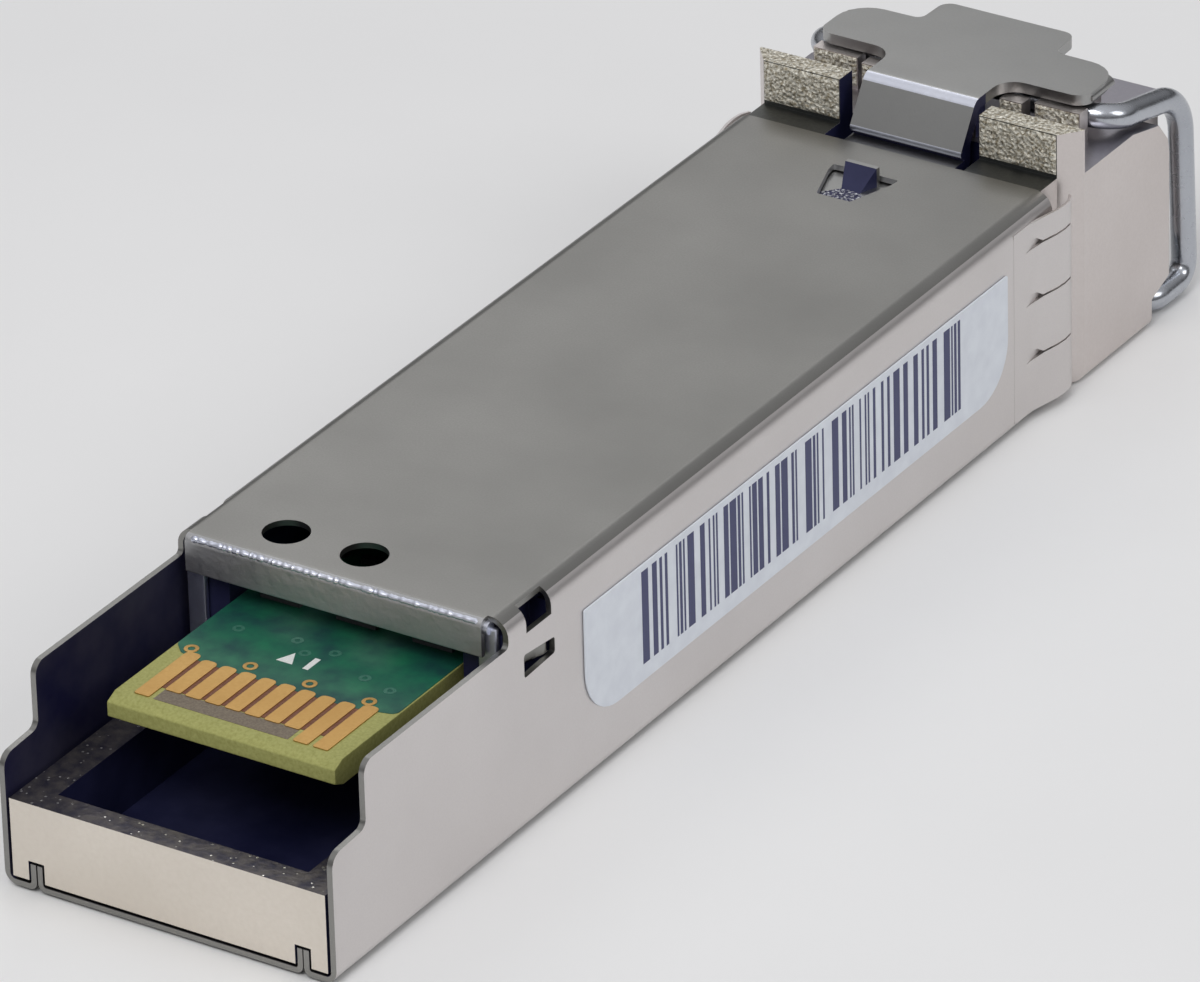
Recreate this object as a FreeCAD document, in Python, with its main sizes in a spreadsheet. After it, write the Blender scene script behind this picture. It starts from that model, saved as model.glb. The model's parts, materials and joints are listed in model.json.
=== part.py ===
import FreeCAD, Part
import math
import os
import re
import Sketcher
from FreeCAD import Placement, Rotation, Vector

# Optical transceiver module with two plug ports at the front (+Y), a card edge at the
# rear (-Y) and a bail latch on its upper face (+Z).  The module lies on its lower face.
# X = 0 is the middle, Z = 0 the lower face and Y = 0 the latching shoulder of the boss.

# Driving dimensions in millimetres: alias, value, what it is.
SIZES = [
    ("half_width", 6.7, "half the width of the sheet-metal shell"),
    ("height", 8.5, "lower face to upper face of the shell"),
    ("rear", -45.0, "rear end of the module"),
    ("sheet", 0.22, "thickness of the shell and of the floor plate"),
    ("shell_front", 2.0, "front edge of the shell"),
    ("opening_rear", -34.6, "rear edge of the upper wall, where the card edge opens"),
    ("flange_low", 7.05, "lower edge of the bent-down rear flange"),
    ("wall_top", 7.45, "top of the side walls beside the card edge"),
    ("wall_rear", -42.95, "rear end of the tall part of the side walls"),
    ("wall_low", 4.9, "side wall height at the rear end"),
    ("bend_outer", 0.7, "outer radius of the shell's upper bends"),
    ("bend_inner", 0.42, "inner radius of the shell's upper bends"),
    ("foot_bend", 0.45, "outer radius of the shell's lower bends"),
    ("lip_inner", 5.4, "inner face of the shell's turned-up lips"),
    ("lip_height", 1.0, "top of the turned-up lips"),
    ("lip_sheet", 0.22, "thickness of the turned-up lips"),
    ("gap", 0.04, "assembly gap between neighbouring pieces"),
    ("core_half", 6.36, "half width of the casting inside the shell"),
    ("core_low", 0.34, "underside of the casting above the floor plate"),
    ("core_top", 8.15, "top of the casting under the shell"),
    ("floor_top", 0.8, "upper face of the casting's floor"),
    ("end_wall", 1, "thickness of the rear end wall"),
    ("end_wall_top", 3.35, "top of the rear end wall"),
    ("nose_half", 6.85, "half width of the nose"),
    ("throat_half", 6.2, "half width of the nose's rear end, where its chamfers start"),
    ("nose_rear", 3.2, "rear of the nose's side faces and of the stop blocks"),
    ("nose_side_front", 10.5, "front of the nose beside the bail legs"),
    ("nose_front", 11.3, "front face around the ports"),
    ("nose_front_half", 5.78, "half width of the front face"),
    ("shelf", 8.45, "top of the nose beside the latch"),
    ("stop_depth", 0.9, "thickness of the stop blocks"),
    ("stop_top", 10.2, "top of the stop blocks"),
    ("stop_inner", 2.95, "inner side of the stop blocks"),
    ("port_offset", 3.125, "half the distance between the two optical axes"),
    ("port_axis", 4.8, "height of the optical axes"),
    ("port_side", 4.7, "width and height of a port"),
    ("port_rear", 2.5, "bottom of the ports"),
    ("key_width", 2.9, "width of the plug latch slot under each port"),
    ("key_low", 1.35, "lower face of the plug latch slots"),
    ("notch_rear", 9.0, "rear of the bail notch under the nose"),
    ("notch_low", 1.05, "height of the bail notch at its rear"),
    ("notch_high", 1.9, "height of the bail notch at the front face"),
    ("wire_radius", 0.48, "radius of the bail wire"),
    ("bail_axis_y", 6.9, "bail axis, along the module"),
    ("bail_axis_z", 9.25, "bail axis, above the lower face"),
    ("bail_half", 6.36, "half width of the bail between wire centres"),
    ("crank", 0.3, "offset of the bail's cranked middle"),
    ("lug_outer", 5.0, "outer side of the bearing lugs"),
    ("lug_inner", 3.75, "inner side of the bearing lugs"),
    ("lug_rear", 5.8, "rear of the bearing lugs"),
    ("lug_top", 9.78, "top of the bearing lugs"),
    ("plate_top", 10.3, "upper face of the latch lever"),
    ("plate_sheet", 0.42, "thickness of the latch lever"),
    ("rock_y", 4.9, "rocking line of the lever, along the module"),
    ("rock_z", 9.5, "rocking line of the lever, above the lower face"),
    ("rock_radius", 0.34, "radius of the rib that the lever rocks on"),
    ("tongue_half", 2.35, "half width of the lever's tongue"),
    ("tongue_low", 8.5, "lower edge of the lever's tongue"),
    ("neck_rear", 3.15, "rear face of the neck between tongue and arm"),
    ("arm_half", 1.5, "half width of the lever's arm"),
    ("arm_top", 8.22, "upper face of the lever's arm"),
    ("arm_rear", -2.2, "rear end of the lever's arm"),
    ("boss_top", 8.95, "top of the latch boss"),
    ("boss_half", 0.66, "half width of the latch boss at its shoulder"),
    ("board_half", 4.6, "half width of the circuit board"),
    ("board_rear", -41.6, "card edge of the circuit board"),
    ("board_front", -9.0, "front end of the circuit board"),
    ("board_top", 6.1, "upper face of the circuit board"),
    ("board_thick", 1.0, "thickness of the circuit board"),
    ("pad_pitch", 0.8, "pitch of the edge contacts"),
    ("pad_width", 0.52, "width of an edge contact"),
    ("pad_thick", 0.04, "thickness of an edge contact"),
    ("barrel_radius", 1.8, "radius of an optical barrel"),
    ("flange_radius", 2.2, "radius of its locating flange"),
    ("snout_radius", 1.475, "radius of its snout inside the port"),
    ("ferrule_radius", 0.63, "radius of the bore for the plug's ferrule"),
    ("sleeve_radius", 0.81, "outer radius of the alignment sleeve"),
    ("stub_radius", 1.0, "radius of the fibre stub behind the sleeve"),
    ("snout_front", 5.9, "front end of the snouts"),
    ("can_radius", 2.3, "radius of an optical can"),
    ("header_radius", 2.6, "radius of a can's header"),
    ("pin_radius", 0.22, "radius of a header pin"),
    ("pin_circle", 1.27, "radius of the circle of header pins"),
    ("flex_thick", 0.15, "thickness of a flexible circuit"),
    ("label_thick", 0.08, "thickness of the side label"),
    ("hole_radius", 0.85, "radius of the two round holes in the upper wall"),
]

PADS = 10             # edge contacts on each face of the board
PINS = 4              # pins on each optical header
SIDES = (-1, 1)       # left and right

doc = FreeCAD.newDocument("OpticalTransceiver")
sheet = doc.addObject("Spreadsheet::Sheet", "Sizes")
for row, (alias, number, meaning) in enumerate(SIZES, start=1):
    sheet.set(f"A{row}", meaning)
    sheet.set(f"B{row}", str(number))
    sheet.setAlias(f"B{row}", alias)
doc.recompute()
ALIASES = {alias for alias, number, meaning in SIZES}


def formula(text):
    """An expression for the sheet: every alias in the text gets the sheet's name."""
    return re.sub(r"[a-z_]+", lambda m: f"Sizes.{m[0]}" if m[0] in ALIASES else m[0], str(text))


def value(text):
    """The number that a formula gives now."""
    return float(sheet.evalExpression(formula(text)))


def bind(item, **links):
    """Tie properties to formulas; x, y and z stand for the item's position."""
    for name, text in links.items():
        path = f"Placement.Base.{name}" if name in "xyz" else name
        item.setExpression(path, formula(text))


def block(name, x, y, z):
    """A box from three (low, high) pairs of formulas."""
    item = doc.addObject("Part::Box", name)
    bind(item, Length=f"({x[1]})-({x[0]})", Width=f"({y[1]})-({y[0]})", Height=f"({z[1]})-({z[0]})")
    bind(item, x=x[0], y=y[0], z=z[0])
    return item


def rod(name, radius, x, z, rear, front):
    """A cylinder along the module."""
    item = doc.addObject("Part::Cylinder", name)
    item.Placement = Placement(Vector(), Rotation(Vector(1, 0, 0), -90))
    bind(item, Radius=radius, Height=f"({front})-({rear})", x=x, y=rear, z=z)
    return item


def fuse(name, items):
    item = doc.addObject("Part::MultiFuse", name)
    item.Shapes = items
    item.Refine = True
    return item


def cut(name, base, tools):
    """The base without the tools."""
    item = doc.addObject("Part::Cut", name)
    item.Base = base
    item.Tool = tools[0] if len(tools) == 1 else fuse(name + "_tools", tools)
    item.Refine = True
    return item


def group(name, items):
    item = doc.addObject("Part::Compound", name)
    item.Links = items
    return item


def mirrored(name, source):
    """The same piece on the other side of X = 0."""
    item = doc.addObject("Part::Mirroring", name)
    item.Source = source
    item.Normal = Vector(1, 0, 0)
    return item


def outline(body, name, plane, loops):
    """A sketch of closed loops; every corner is a pair of formulas measured from the origin."""
    sketch = body.newObject("Sketcher::SketchObject", name)
    base = next(f for f in body.Origin.OriginFeatures if f.Role == plane)
    sketch.AttachmentSupport = [(base, "")]
    sketch.MapMode = "FlatFace"
    for corners in loops:
        first = sketch.GeometryCount
        points = [Vector(value(a), value(b), 0) for a, b in corners]
        count = len(points)
        for k in range(count):
            sketch.addGeometry(Part.LineSegment(points[k], points[(k + 1) % count]))
        for k in range(count):
            following = first + (k + 1) % count
            sketch.addConstraint(Sketcher.Constraint("Coincident", first + k, 2, following, 1))
        for k, (a, b) in enumerate(corners):
            for kind, text in (("DistanceX", a), ("DistanceY", b)):
                datum = Sketcher.Constraint(kind, -1, 1, first + k, 1, value(text))
                number = sketch.addConstraint(datum)
                sketch.setExpression(f"Constraints[{number}]", formula(text))
    return sketch


def pad(body, sketch, length, start="0", middle=False):
    """Thicken a sketch from start along its normal, or evenly to both sides."""
    sketch.setExpression(".AttachmentOffset.Base.z", formula(start))
    item = body.newObject("PartDesign::Pad", sketch.Name + "_pad")
    item.Profile = sketch
    if middle:
        item.Midplane = True
    item.setExpression("Length", formula(length))
    return item


def pocket(body, sketch, middle=True):
    """Cut a sketch through everything; the result has to be smaller than before."""
    before = body.Shape.Volume
    item = body.newObject("PartDesign::Pocket", sketch.Name + "_pocket")
    item.Profile = sketch
    item.Type = "ThroughAll"
    item.Midplane = middle
    doc.recompute()
    if not item.Shape.Volume < before - 1e-6:
        raise RuntimeError(f"{item.Name} cuts nothing")
    return item


def fillet(body, radius, chosen):
    """Round the edges of the body's tip that the test picks."""
    tip = body.Tip
    names = [f"Edge{k}" for k, edge in enumerate(tip.Shape.Edges, start=1) if chosen(edge)]
    if not names:
        raise RuntimeError(f"{body.Name}: no edge to round")
    item = body.newObject("PartDesign::Fillet", f"{body.Name}_round_{len(body.Group)}")
    item.Base = (tip, names)
    item.setExpression("Radius", formula(radius))
    doc.recompute()
    return item


def new_body(name):
    return doc.addObject("PartDesign::Body", name)


def runs_along_y(x, z):
    """A test for the long edges at plus or minus x and at height z."""
    def test(edge):
        low, high = edge.BoundBox, edge.CenterOfMass
        near = abs(abs(high.x) - value(x)) < 0.02 and abs(high.z - value(z)) < 0.02
        return near and low.YLength > 5 and low.XLength < 0.01
    return test


# ---------------------------------------------------------------- sheet metal

def shell_profile():
    """Cross-section of the shell: upper wall, side walls, feet and turned-up lips."""
    right = [
        ("lip_inner", "0"), ("half_width", "0"), ("half_width", "height"),
    ]
    inside = [
        ("half_width-sheet", "height-sheet"), ("half_width-sheet", "sheet"),
        ("lip_inner+lip_sheet", "sheet"), ("lip_inner+lip_sheet", "lip_height"),
        ("lip_inner", "lip_height"),
    ]
    left = [(f"-({a})", b) for a, b in reversed(right)]
    left_inside = [(f"-({a})", b) for a, b in reversed(inside)]
    return right + left + left_inside + inside


def shell_body():
    body = new_body("shell_sheet")
    section = outline(body, "shell_section", "XZ_Plane", [shell_profile()])
    pad(body, section, "shell_front-rear", start="-shell_front")
    doc.recompute()
    fillet(body, "bend_outer", runs_along_y("half_width", "height"))
    fillet(body, "bend_inner", runs_along_y("half_width-sheet", "height-sheet"))
    fillet(body, "foot_bend", runs_along_y("half_width", "0"))
    above = "height+1"
    behind = "rear-1"
    side_cut = [
        (behind, above), (behind, "wall_low-0.55"), ("rear", "wall_low-0.55"), ("rear+0.16", "wall_low-0.16"),
        ("rear+0.55", "wall_low"), ("wall_rear-0.35", "wall_low+0.1"), ("wall_rear-0.1", "wall_low+0.2"),
        ("wall_rear", "wall_low+0.45"), ("wall_rear", "wall_top-0.5"), ("wall_rear+0.15", "wall_top-0.15"),
        ("wall_rear+0.5", "wall_top"), ("opening_rear", "wall_top"), ("opening_rear", above),
    ]
    pocket(body, outline(body, "shell_side_cut", "YZ_Plane", [side_cut]))
    return body


def shell():
    """Folded shell with its bent-down rear flange, round holes, corner holes and slots."""
    flange = block("rear_flange", ("-half_width+0.6", "half_width-0.6"),
                   ("opening_rear", "opening_rear+sheet"), ("flange_low", "height-sheet"))
    lip = rod_across("rear_flange_bend", "sheet", "opening_rear+sheet", "height-sheet",
                     "-half_width+0.6", "half_width-0.6")
    body = shell_body()
    roll = cut("shell_edge_cut", body, [block("shell_edge_square", ("-half_width+0.6", "half_width-0.6"),
               ("opening_rear-1", "opening_rear+sheet"), ("flange_low", "height+1"))])
    whole = fuse("shell_whole", [roll, flange, lip])
    tools = []
    for hole, place in (("round_hole_left", "-3.19"), ("round_hole_middle", "0")):
        drill = doc.addObject("Part::Cylinder", hole)
        bind(drill, Radius="hole_radius", Height="2", x=place, y="opening_rear+1.9", z="height-1")
        tools.append(drill)
    corner = block("corner_hole", ("half_width-0.7", "half_width+1"), ("-33.1", "-31.5"),
                   ("7.55", "height+1"))
    slot = block("side_slot", ("half_width-1", "half_width+1"), ("-33.3", "-31.35"), ("5.85", "6.5"))
    tools += [corner, mirrored("corner_hole_left", corner), slot, mirrored("side_slot_left", slot)]
    tools.append(boss_hole())
    return cut("shell", whole, tools)


def rod_across(name, radius, y, z, left, right):
    """A cylinder across the module."""
    item = doc.addObject("Part::Cylinder", name)
    item.Placement = Placement(Vector(), Rotation(Vector(0, 1, 0), 90))
    bind(item, Radius=radius, Height=f"({right})-({left})", x=left, y=y, z=z)
    return item


def boss_hole():
    """The latch boss's hole in the upper wall, narrower to the rear."""
    body = new_body("boss_hole")
    corners = [("-1.3", "0.2"), ("-1.3", "-0.5"), ("-0.75", "-2.05"),
               ("0.75", "-2.05"), ("1.3", "-0.5"), ("1.3", "0.2")]
    sketch = outline(body, "boss_hole_outline", "XY_Plane", [corners])
    pad(body, sketch, "2", start="height-1")
    return body


def floor_plate():
    """Plate between the shell's feet, with a turned-up lip along each side."""
    body = new_body("floor_plate")
    outer, inner = "lip_inner-gap", "lip_inner-gap-lip_sheet"
    corners = [
        (f"-({outer})", "0"), (outer, "0"), (outer, "lip_height"), (inner, "lip_height"), (inner, "sheet"),
        (f"-({inner})", "sheet"), (f"-({inner})", "lip_height"), (f"-({outer})", "lip_height"),
    ]
    sketch = outline(body, "floor_plate_section", "XZ_Plane", [corners])
    pad(body, sketch, "shell_front-0.05-rear", start="-(shell_front-0.05)")
    return body


def emi_collar():
    """Spring fingers on both sides, over the shell's front end and turned in at their tips."""
    body = new_body("emi_fingers_right")
    thick, near, far = "0.12", "half_width+0.02", "-0.7"
    tip = "nose_rear-0.1"
    corners = [
        (near, far), (f"{near}+{thick}", far), (f"{near}+{thick}", "0.3"), ("half_width+0.33", "1.8"),
        ("half_width+0.37", "2.3"), ("half_width+0.27", tip), ("half_width+0.15", tip),
        ("half_width+0.25", "2.3"), ("half_width+0.21", "1.8"), (near, "0.42"),
    ]
    sketch = outline(body, "finger_profile", "XY_Plane", [corners])
    pad(body, sketch, "core_top-0.5", start="0.35")
    slits = []
    for k, middle in enumerate(("2.35", "4.75", "7.0")):
        slits.append(block(f"finger_slit_{k}", ("half_width-1", "half_width+1"), ("0.35", "nose_rear"),
                           (f"{middle}-0.08", f"{middle}+0.08")))
        slits.append(rod_across(f"finger_relief_{k}", "0.22", "0.4", middle, "half_width-1", "half_width+1"))
    right = cut("emi_fingers_slit", body, slits)
    return group("emi_collar", [right, mirrored("emi_fingers_left", right)])


def side_label():
    """Label with square upper corners and two large lower radii."""
    body = new_body("side_label")
    corners = [("-29.6", "2.2"), ("-1.3", "2.2"), ("-1.3", "6.7"), ("-29.6", "6.7")]
    sketch = outline(body, "label_outline", "YZ_Plane", [corners])
    pad(body, sketch, "label_thick", start="half_width+0.01")
    doc.recompute()
    fillet(body, "2", lambda e: e.BoundBox.XLength > 0.05 and e.CenterOfMass.z < 3)
    return body


# ---------------------------------------------------------------- casting

def casting_blocks():
    """The solid parts of the casting before its cavities are cut."""
    core = ("-core_half", "core_half")
    nose = ("-nose_half", "nose_half")
    items = [
        block("cast_floor", core, ("rear", "-8"), ("core_low", "floor_top")),
        block("cast_end_wall", core, ("rear", "rear+end_wall"), ("core_low", "end_wall_top")),
        block("cast_cradle", core, ("-8", "shell_front+0.06"), ("core_low", "core_top")),
        block("cast_throat", ("-throat_half", "throat_half"), ("shell_front+0.05", "nose_rear"),
              ("0.05", "shelf")),
        block("cast_nose", nose, ("nose_rear", "nose_side_front"), ("0", "shelf")),
        block("cast_front", ("-nose_front_half", "nose_front_half"), ("nose_side_front", "nose_front"),
              ("0", "shelf")),
        block("cast_rock_web", ("-2", "2"), ("rock_y-rock_radius", "rock_y+rock_radius"),
              ("shelf-0.1", "rock_z")),
        rod_across("cast_rock_rib", "rock_radius", "rock_y", "rock_z", "-2", "2"),
    ]
    for side, tag in zip(SIDES, ("left", "right")):
        items += casting_side_blocks(side, tag)
    return items


def span(side, inner, outer):
    """An X interval on one side of the middle, low end first."""
    return (inner, outer) if side > 0 else (f"-({outer})", f"-({inner})")


def casting_side_blocks(side, tag):
    """Rails, ledges, stop block and bearing lugs of one side."""
    lug = span(side, "lug_inner", "lug_outer")
    groove = "wire_radius+gap"
    return [
        block(f"cast_rail_{tag}", span(side, "board_half+0.15", "core_half"), ("opening_rear+0.6", "-8"),
              ("core_low", "core_top")),
        block(f"cast_seat_{tag}", span(side, "4.1", "core_half"), ("opening_rear+0.6", "-8"),
              ("core_low", "board_top-board_thick-0.05")),
        block(f"cast_ledge_{tag}", span(side, "5.05", "core_half"), ("rear", "opening_rear+0.6"),
              ("core_low", "end_wall_top")),
        block(f"cast_stop_{tag}", span(side, "stop_inner", "nose_half"), ("nose_rear", "nose_rear+stop_depth"),
              ("shelf-0.1", "stop_top")),
        block(f"cast_lug_rear_{tag}", span(side, "lug_inner", "lug_outer+0.65"),
              ("lug_rear", f"bail_axis_y-({groove})"), ("shelf-0.1", "lug_top")),
        block(f"cast_lug_front_{tag}", lug, (f"bail_axis_y+{groove}", "8.5"), ("shelf-0.1", "lug_top")),
        block(f"cast_lug_seat_{tag}", lug, ("lug_rear", "8.5"), ("shelf-0.1", f"bail_axis_z-({groove})")),
        block(f"cast_post_{tag}", span(side, "2.45", "3.4"), ("5.5", "6.1"), ("shelf-0.1", "lug_top")),
    ]


def casting_cavities():
    """Ports, barrel bores, latch pockets, notches and the bay for the optical cans."""
    pocket_half = "arm_half+0.3"
    tools = [
        block("arm_pocket", (f"-({pocket_half})", pocket_half), ("-8.5", "2.3"), ("6.75", "height")),
        block("tongue_pocket", ("-2.6", "2.6"), ("0.6", "4.3"), ("7.3", "height")),
        block("can_bay", ("-6", "6"), ("-8.5", "-1.1"), ("0.9", "height")),
        bail_notch(),
    ]
    for corner in (bail_corner(), nose_chamfer()):
        tools += [corner, mirrored(corner.Name + "_left", corner)]
    for side, tag in zip(SIDES, ("left", "right")):
        axis = f"{side}*port_offset"
        half = "port_side/2"
        tools += [
            block(f"port_{tag}", (f"{axis}-{half}", f"{axis}+{half}"), ("port_rear", "nose_front+1"),
                  (f"port_axis-{half}", f"port_axis+{half}")),
            block(f"port_key_{tag}", (f"{axis}-key_width/2", f"{axis}+key_width/2"),
                  ("port_rear+1.5", "nose_front+1"), ("key_low", "port_axis")),
            rod(f"barrel_bore_{tag}", "barrel_radius+0.04", axis, "port_axis", "-2", "port_rear+0.1"),
            block(f"lip_notch_{tag}", span(side, "lip_inner-0.34", "lip_inner+0.3"), ("rear-1", "shell_front+0.1"),
                  ("0", "lip_height+0.1")),
            block(f"bend_step_{tag}", span(side, "core_half-0.4", "core_half+0.05"), ("opening_rear", "shell_front"),
                  ("core_top-0.4", "height")),
            block(f"tongue_channel_{tag}", span(side, "tongue_half", "stop_inner"), ("0.6", "5.4"),
                  ("7.3", "stop_top")),
            block(f"rail_window_{tag}", span(side, "5.6", "core_half+0.05"), ("-33.5", "-31.2"),
                  ("5.6", "height")),
        ]
    return tools


def bail_notch():
    """Sloping notch across the nose's lower front edge for the bail's cross bar."""
    body = new_body("bail_notch")
    corners = [("notch_rear", "-1"), ("notch_rear", "notch_low"), ("nose_front", "notch_high"),
               ("nose_front+1", "notch_high+0.4"), ("nose_front+1", "-1")]
    sketch = outline(body, "bail_notch_outline", "YZ_Plane", [corners])
    pad(body, sketch, "4*nose_half", middle=True)
    return body


def bail_corner():
    """Falling corner of the nose's side beside the front face, under the bail's forward run."""
    body = new_body("bail_corner")
    corners = [("7.6", "shelf+0.1"), ("7.6", "shelf"), ("9.5", "8"), ("10.15", "7.2"),
               ("nose_side_front", "5.8"), ("nose_front+1", "5.8"), ("nose_front+1", "shelf+0.1")]
    sketch = outline(body, "bail_corner_outline", "YZ_Plane", [corners])
    pad(body, sketch, "2", start="nose_front_half")
    return body


def nose_chamfer():
    """Full-height chamfer on the nose's rear corner."""
    body = new_body("nose_chamfer")
    corners = [("throat_half", "nose_rear"), ("2*nose_half-throat_half", "nose_rear+1.6"),
               ("2*nose_half-throat_half", "nose_rear")]
    sketch = outline(body, "nose_chamfer_outline", "XY_Plane", [corners])
    pad(body, sketch, "stop_top+2", start="-1")
    return body


def die_cast_base():
    """One casting: nose with the ports, cradle for the optics, tray and rear end wall."""
    raw = cut("die_cast_raw", fuse("cast_solid", casting_blocks()), casting_cavities())
    doc.recompute()
    rounded = doc.addObject("Part::Fillet", "die_cast_base")
    rounded.Base = raw
    chosen = []
    for number, edge in enumerate(raw.Shape.Edges, start=1):
        middle, size = edge.CenterOfMass, edge.BoundBox
        at_side = abs(abs(middle.x) - value("nose_half")) < 0.01
        front_corner = at_side and abs(middle.y - value("nose_side_front")) < 0.01 and size.ZLength > 3
        long_foot = at_side and size.YLength > 3 and middle.z < 0.01
        if front_corner or long_foot:
            chosen.append((number, 0.3, 0.3))
    rounded.Edges = chosen
    return rounded


# ---------------------------------------------------------------- latch

def bail_centre_line():
    """Half of the wire's centre line, from its cut end in the cranked middle to the cross bar."""
    axis_y, axis_z, half = value("bail_axis_y"), value("bail_axis_z"), value("bail_half")
    raised = axis_y + value("crank")
    bar_z = value("wire_radius+0.02")
    corners = [
        (Vector(0.1, raised, axis_z), 0),
        (Vector(2.5, raised, axis_z), 0.5),
        (Vector(3.1, axis_y, axis_z), 0.5),
        (Vector(half, axis_y, axis_z), 1.1),
        (Vector(half, axis_y + 5.0, axis_z - 1.1), 2.0),
        (Vector(half, axis_y + 5.4, bar_z), 0.75),
        (Vector(half, axis_y + 2.8, bar_z), 0.75),
        (Vector(0, axis_y + 2.8, bar_z), 0),
    ]
    return rounded_path(corners)


def rounded_path(corners):
    """Straight runs joined by arcs of the given radii."""
    edges = []
    start = corners[0][0]
    for k in range(1, len(corners) - 1):
        (before, _), (corner, radius), (after, _) = corners[k - 1:k + 2]
        back = (before - corner).normalize()
        ahead = (after - corner).normalize()
        half_angle = back.getAngle(ahead) / 2
        reach = radius / math.tan(half_angle)
        inner = (back + ahead).normalize()
        centre_distance = (reach ** 2 + radius ** 2) ** 0.5
        first, last = corner + back * reach, corner + ahead * reach
        middle = corner + inner * (centre_distance - radius)
        edges.append(Part.makeLine(start, first))
        edges.append(Part.Arc(first, middle, last).toShape())
        start = last
    edges.append(Part.makeLine(start, corners[-1][0]))
    return edges


def bail():
    """Bent wire: cranked pivot run, two forward runs, two legs and the cross bar."""
    half = bail_centre_line()
    path = doc.addObject("Part::Feature", "bail_path")
    mirror = [edge.mirror(Vector(), Vector(1, 0, 0)) for edge in reversed(half)]
    path.Shape = Part.Wire(Part.__sortEdges__(half + mirror))
    circle = doc.addObject("Part::Circle", "bail_section")
    circle.setExpression("Radius", formula("wire_radius"))
    circle.Placement = Placement(Vector(0.1, value("bail_axis_y+crank"), value("bail_axis_z")),
                                 Rotation(Vector(0, 1, 0), 90))
    sweep = doc.addObject("Part::Sweep", "bail")
    sweep.Sections = [circle]
    sweep.Spine = (path, [])
    sweep.Solid = True
    sweep.Frenet = False
    sweep.Transition = "Right corner"
    return sweep


def lever_profile():
    """Side view of the lever: plate, sloping tongue, neck and arm, all of one sheet."""
    return [
        ("10.5", "plate_top"), ("4.1", "plate_top"), ("3.85", "plate_top-0.15"), ("2.8", "tongue_low"),
        ("2.87", "tongue_low-0.15"), ("neck_rear", "tongue_low-0.2"), ("neck_rear", "arm_top"),
        ("arm_rear", "arm_top"), ("arm_rear", "arm_top-plate_sheet"),
        ("neck_rear+plate_sheet", "arm_top-plate_sheet"), ("neck_rear+plate_sheet", "tongue_low+0.1"),
        ("4.2", "plate_top-plate_sheet-0.08"), ("4.35", "plate_top-plate_sheet"),
        ("10.5", "plate_top-plate_sheet"),
    ]


def lever_outline():
    """Plan of the lever: arm, tongue, two wings over the bail and the front tab."""
    right = [
        ("arm_half", "arm_rear"), ("arm_half", "1.7"), ("tongue_half", "2.2"), ("tongue_half", "5.3"),
        ("2.5", "5.75"), ("2.95", "6.1"), ("5.6", "6.1"), ("5.78", "6.3"), ("5.78", "7.9"),
        ("5.6", "8.5"), ("5.1", "8.8"), ("3", "8.8"), ("2.8", "9"), ("2.8", "10.1"), ("2.4", "10.5"),
    ]
    return right + [(f"-({a})", b) for a, b in reversed(right)]


def latch_lever():
    """Rocking lever: profile thickened across the module, trimmed to its plan, with the boss."""
    body = new_body("latch_lever_sheet")
    pad(body, outline(body, "lever_side", "YZ_Plane", [lever_profile()]), "14", middle=True)
    doc.recompute()
    around = [("-8", "-4"), ("8", "-4"), ("8", "13"), ("-8", "13")]
    pocket(body, outline(body, "lever_plan", "XY_Plane", [around, lever_outline()]))
    return fuse("latch_lever", [body, latch_boss()])


def latch_boss():
    """Boss on the arm: upright latching shoulder, sides closing to the rear and a sloping back."""
    body = new_body("latch_boss")
    right = [("boss_half", "0"), ("boss_half", "-0.2"), ("0.28", "-1.2")]
    plan = right + [(f"-({a})", b) for a, b in reversed(right)]
    pad(body, outline(body, "boss_plan", "XY_Plane", [plan]), "boss_top-arm_top+0.05", start="arm_top-0.05")
    doc.recompute()
    slope = "boss_top-arm_top+0.1"
    back = [("-0.2", "boss_top"), ("-0.2", "boss_top+1"), ("-2", "boss_top+1"),
            (f"-0.2-({slope})", f"boss_top-({slope})")]
    pocket(body, outline(body, "boss_back", "YZ_Plane", [back]))
    return body


def latch_spring():
    """Flat spring under the arm, drawn in its pressed state."""
    body = new_body("latch_spring")
    corners = [("-1.9", "6.77"), ("-1", "6.77"), ("-0.3", "6.8"), ("0.4", "6.77"), ("1.9", "6.77"),
               ("1.9", "6.85"), ("0.4", "6.85"), ("-0.3", "6.88"), ("-1", "6.85"), ("-1.9", "6.85")]
    pad(body, outline(body, "spring_side", "YZ_Plane", [corners]), "2", middle=True)
    return body


# ---------------------------------------------------------------- optics

def turned(name, side, rings):
    """A turned piece on an optical axis; rings are (radius, place along the module) pairs."""
    body = new_body(name)
    sketch = outline(body, name + "_half", "XZ_Plane", [rings])
    spin = body.newObject("PartDesign::Revolution", name + "_turn")
    spin.Profile = sketch
    spin.ReferenceAxis = (sketch, ["V_Axis"])
    spin.Angle = 360
    body.Placement = Placement(Vector(), Rotation(Vector(1, 0, 0), -90))
    bind(body, x=f"{side}*port_offset", z="port_axis")
    return body


def receptacle(name, side):
    """Steel barrel: body, locating flange and the snout that holds the sleeve."""
    bore = "sleeve_radius+0.02"
    mouth = "ferrule_radius"
    return turned(name, side, [
        ("stub_radius+0.02", "-3.2"), ("barrel_radius", "-3.2"), ("barrel_radius", "-1.95"),
        ("flange_radius", "-1.95"), ("flange_radius", "-1.15"), ("barrel_radius", "-1.15"),
        ("barrel_radius", "2.4"), ("snout_radius", "2.4"), ("snout_radius", "snout_front-0.15"),
        ("snout_radius-0.15", "snout_front"), ("ferrule_radius+0.3", "snout_front"),
        (mouth, "snout_front-0.2"), (mouth, "snout_front-0.4"), (bore, "snout_front-0.4"), (bore, "0.6"),
        ("stub_radius+0.02", "0.6"),
    ])


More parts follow.
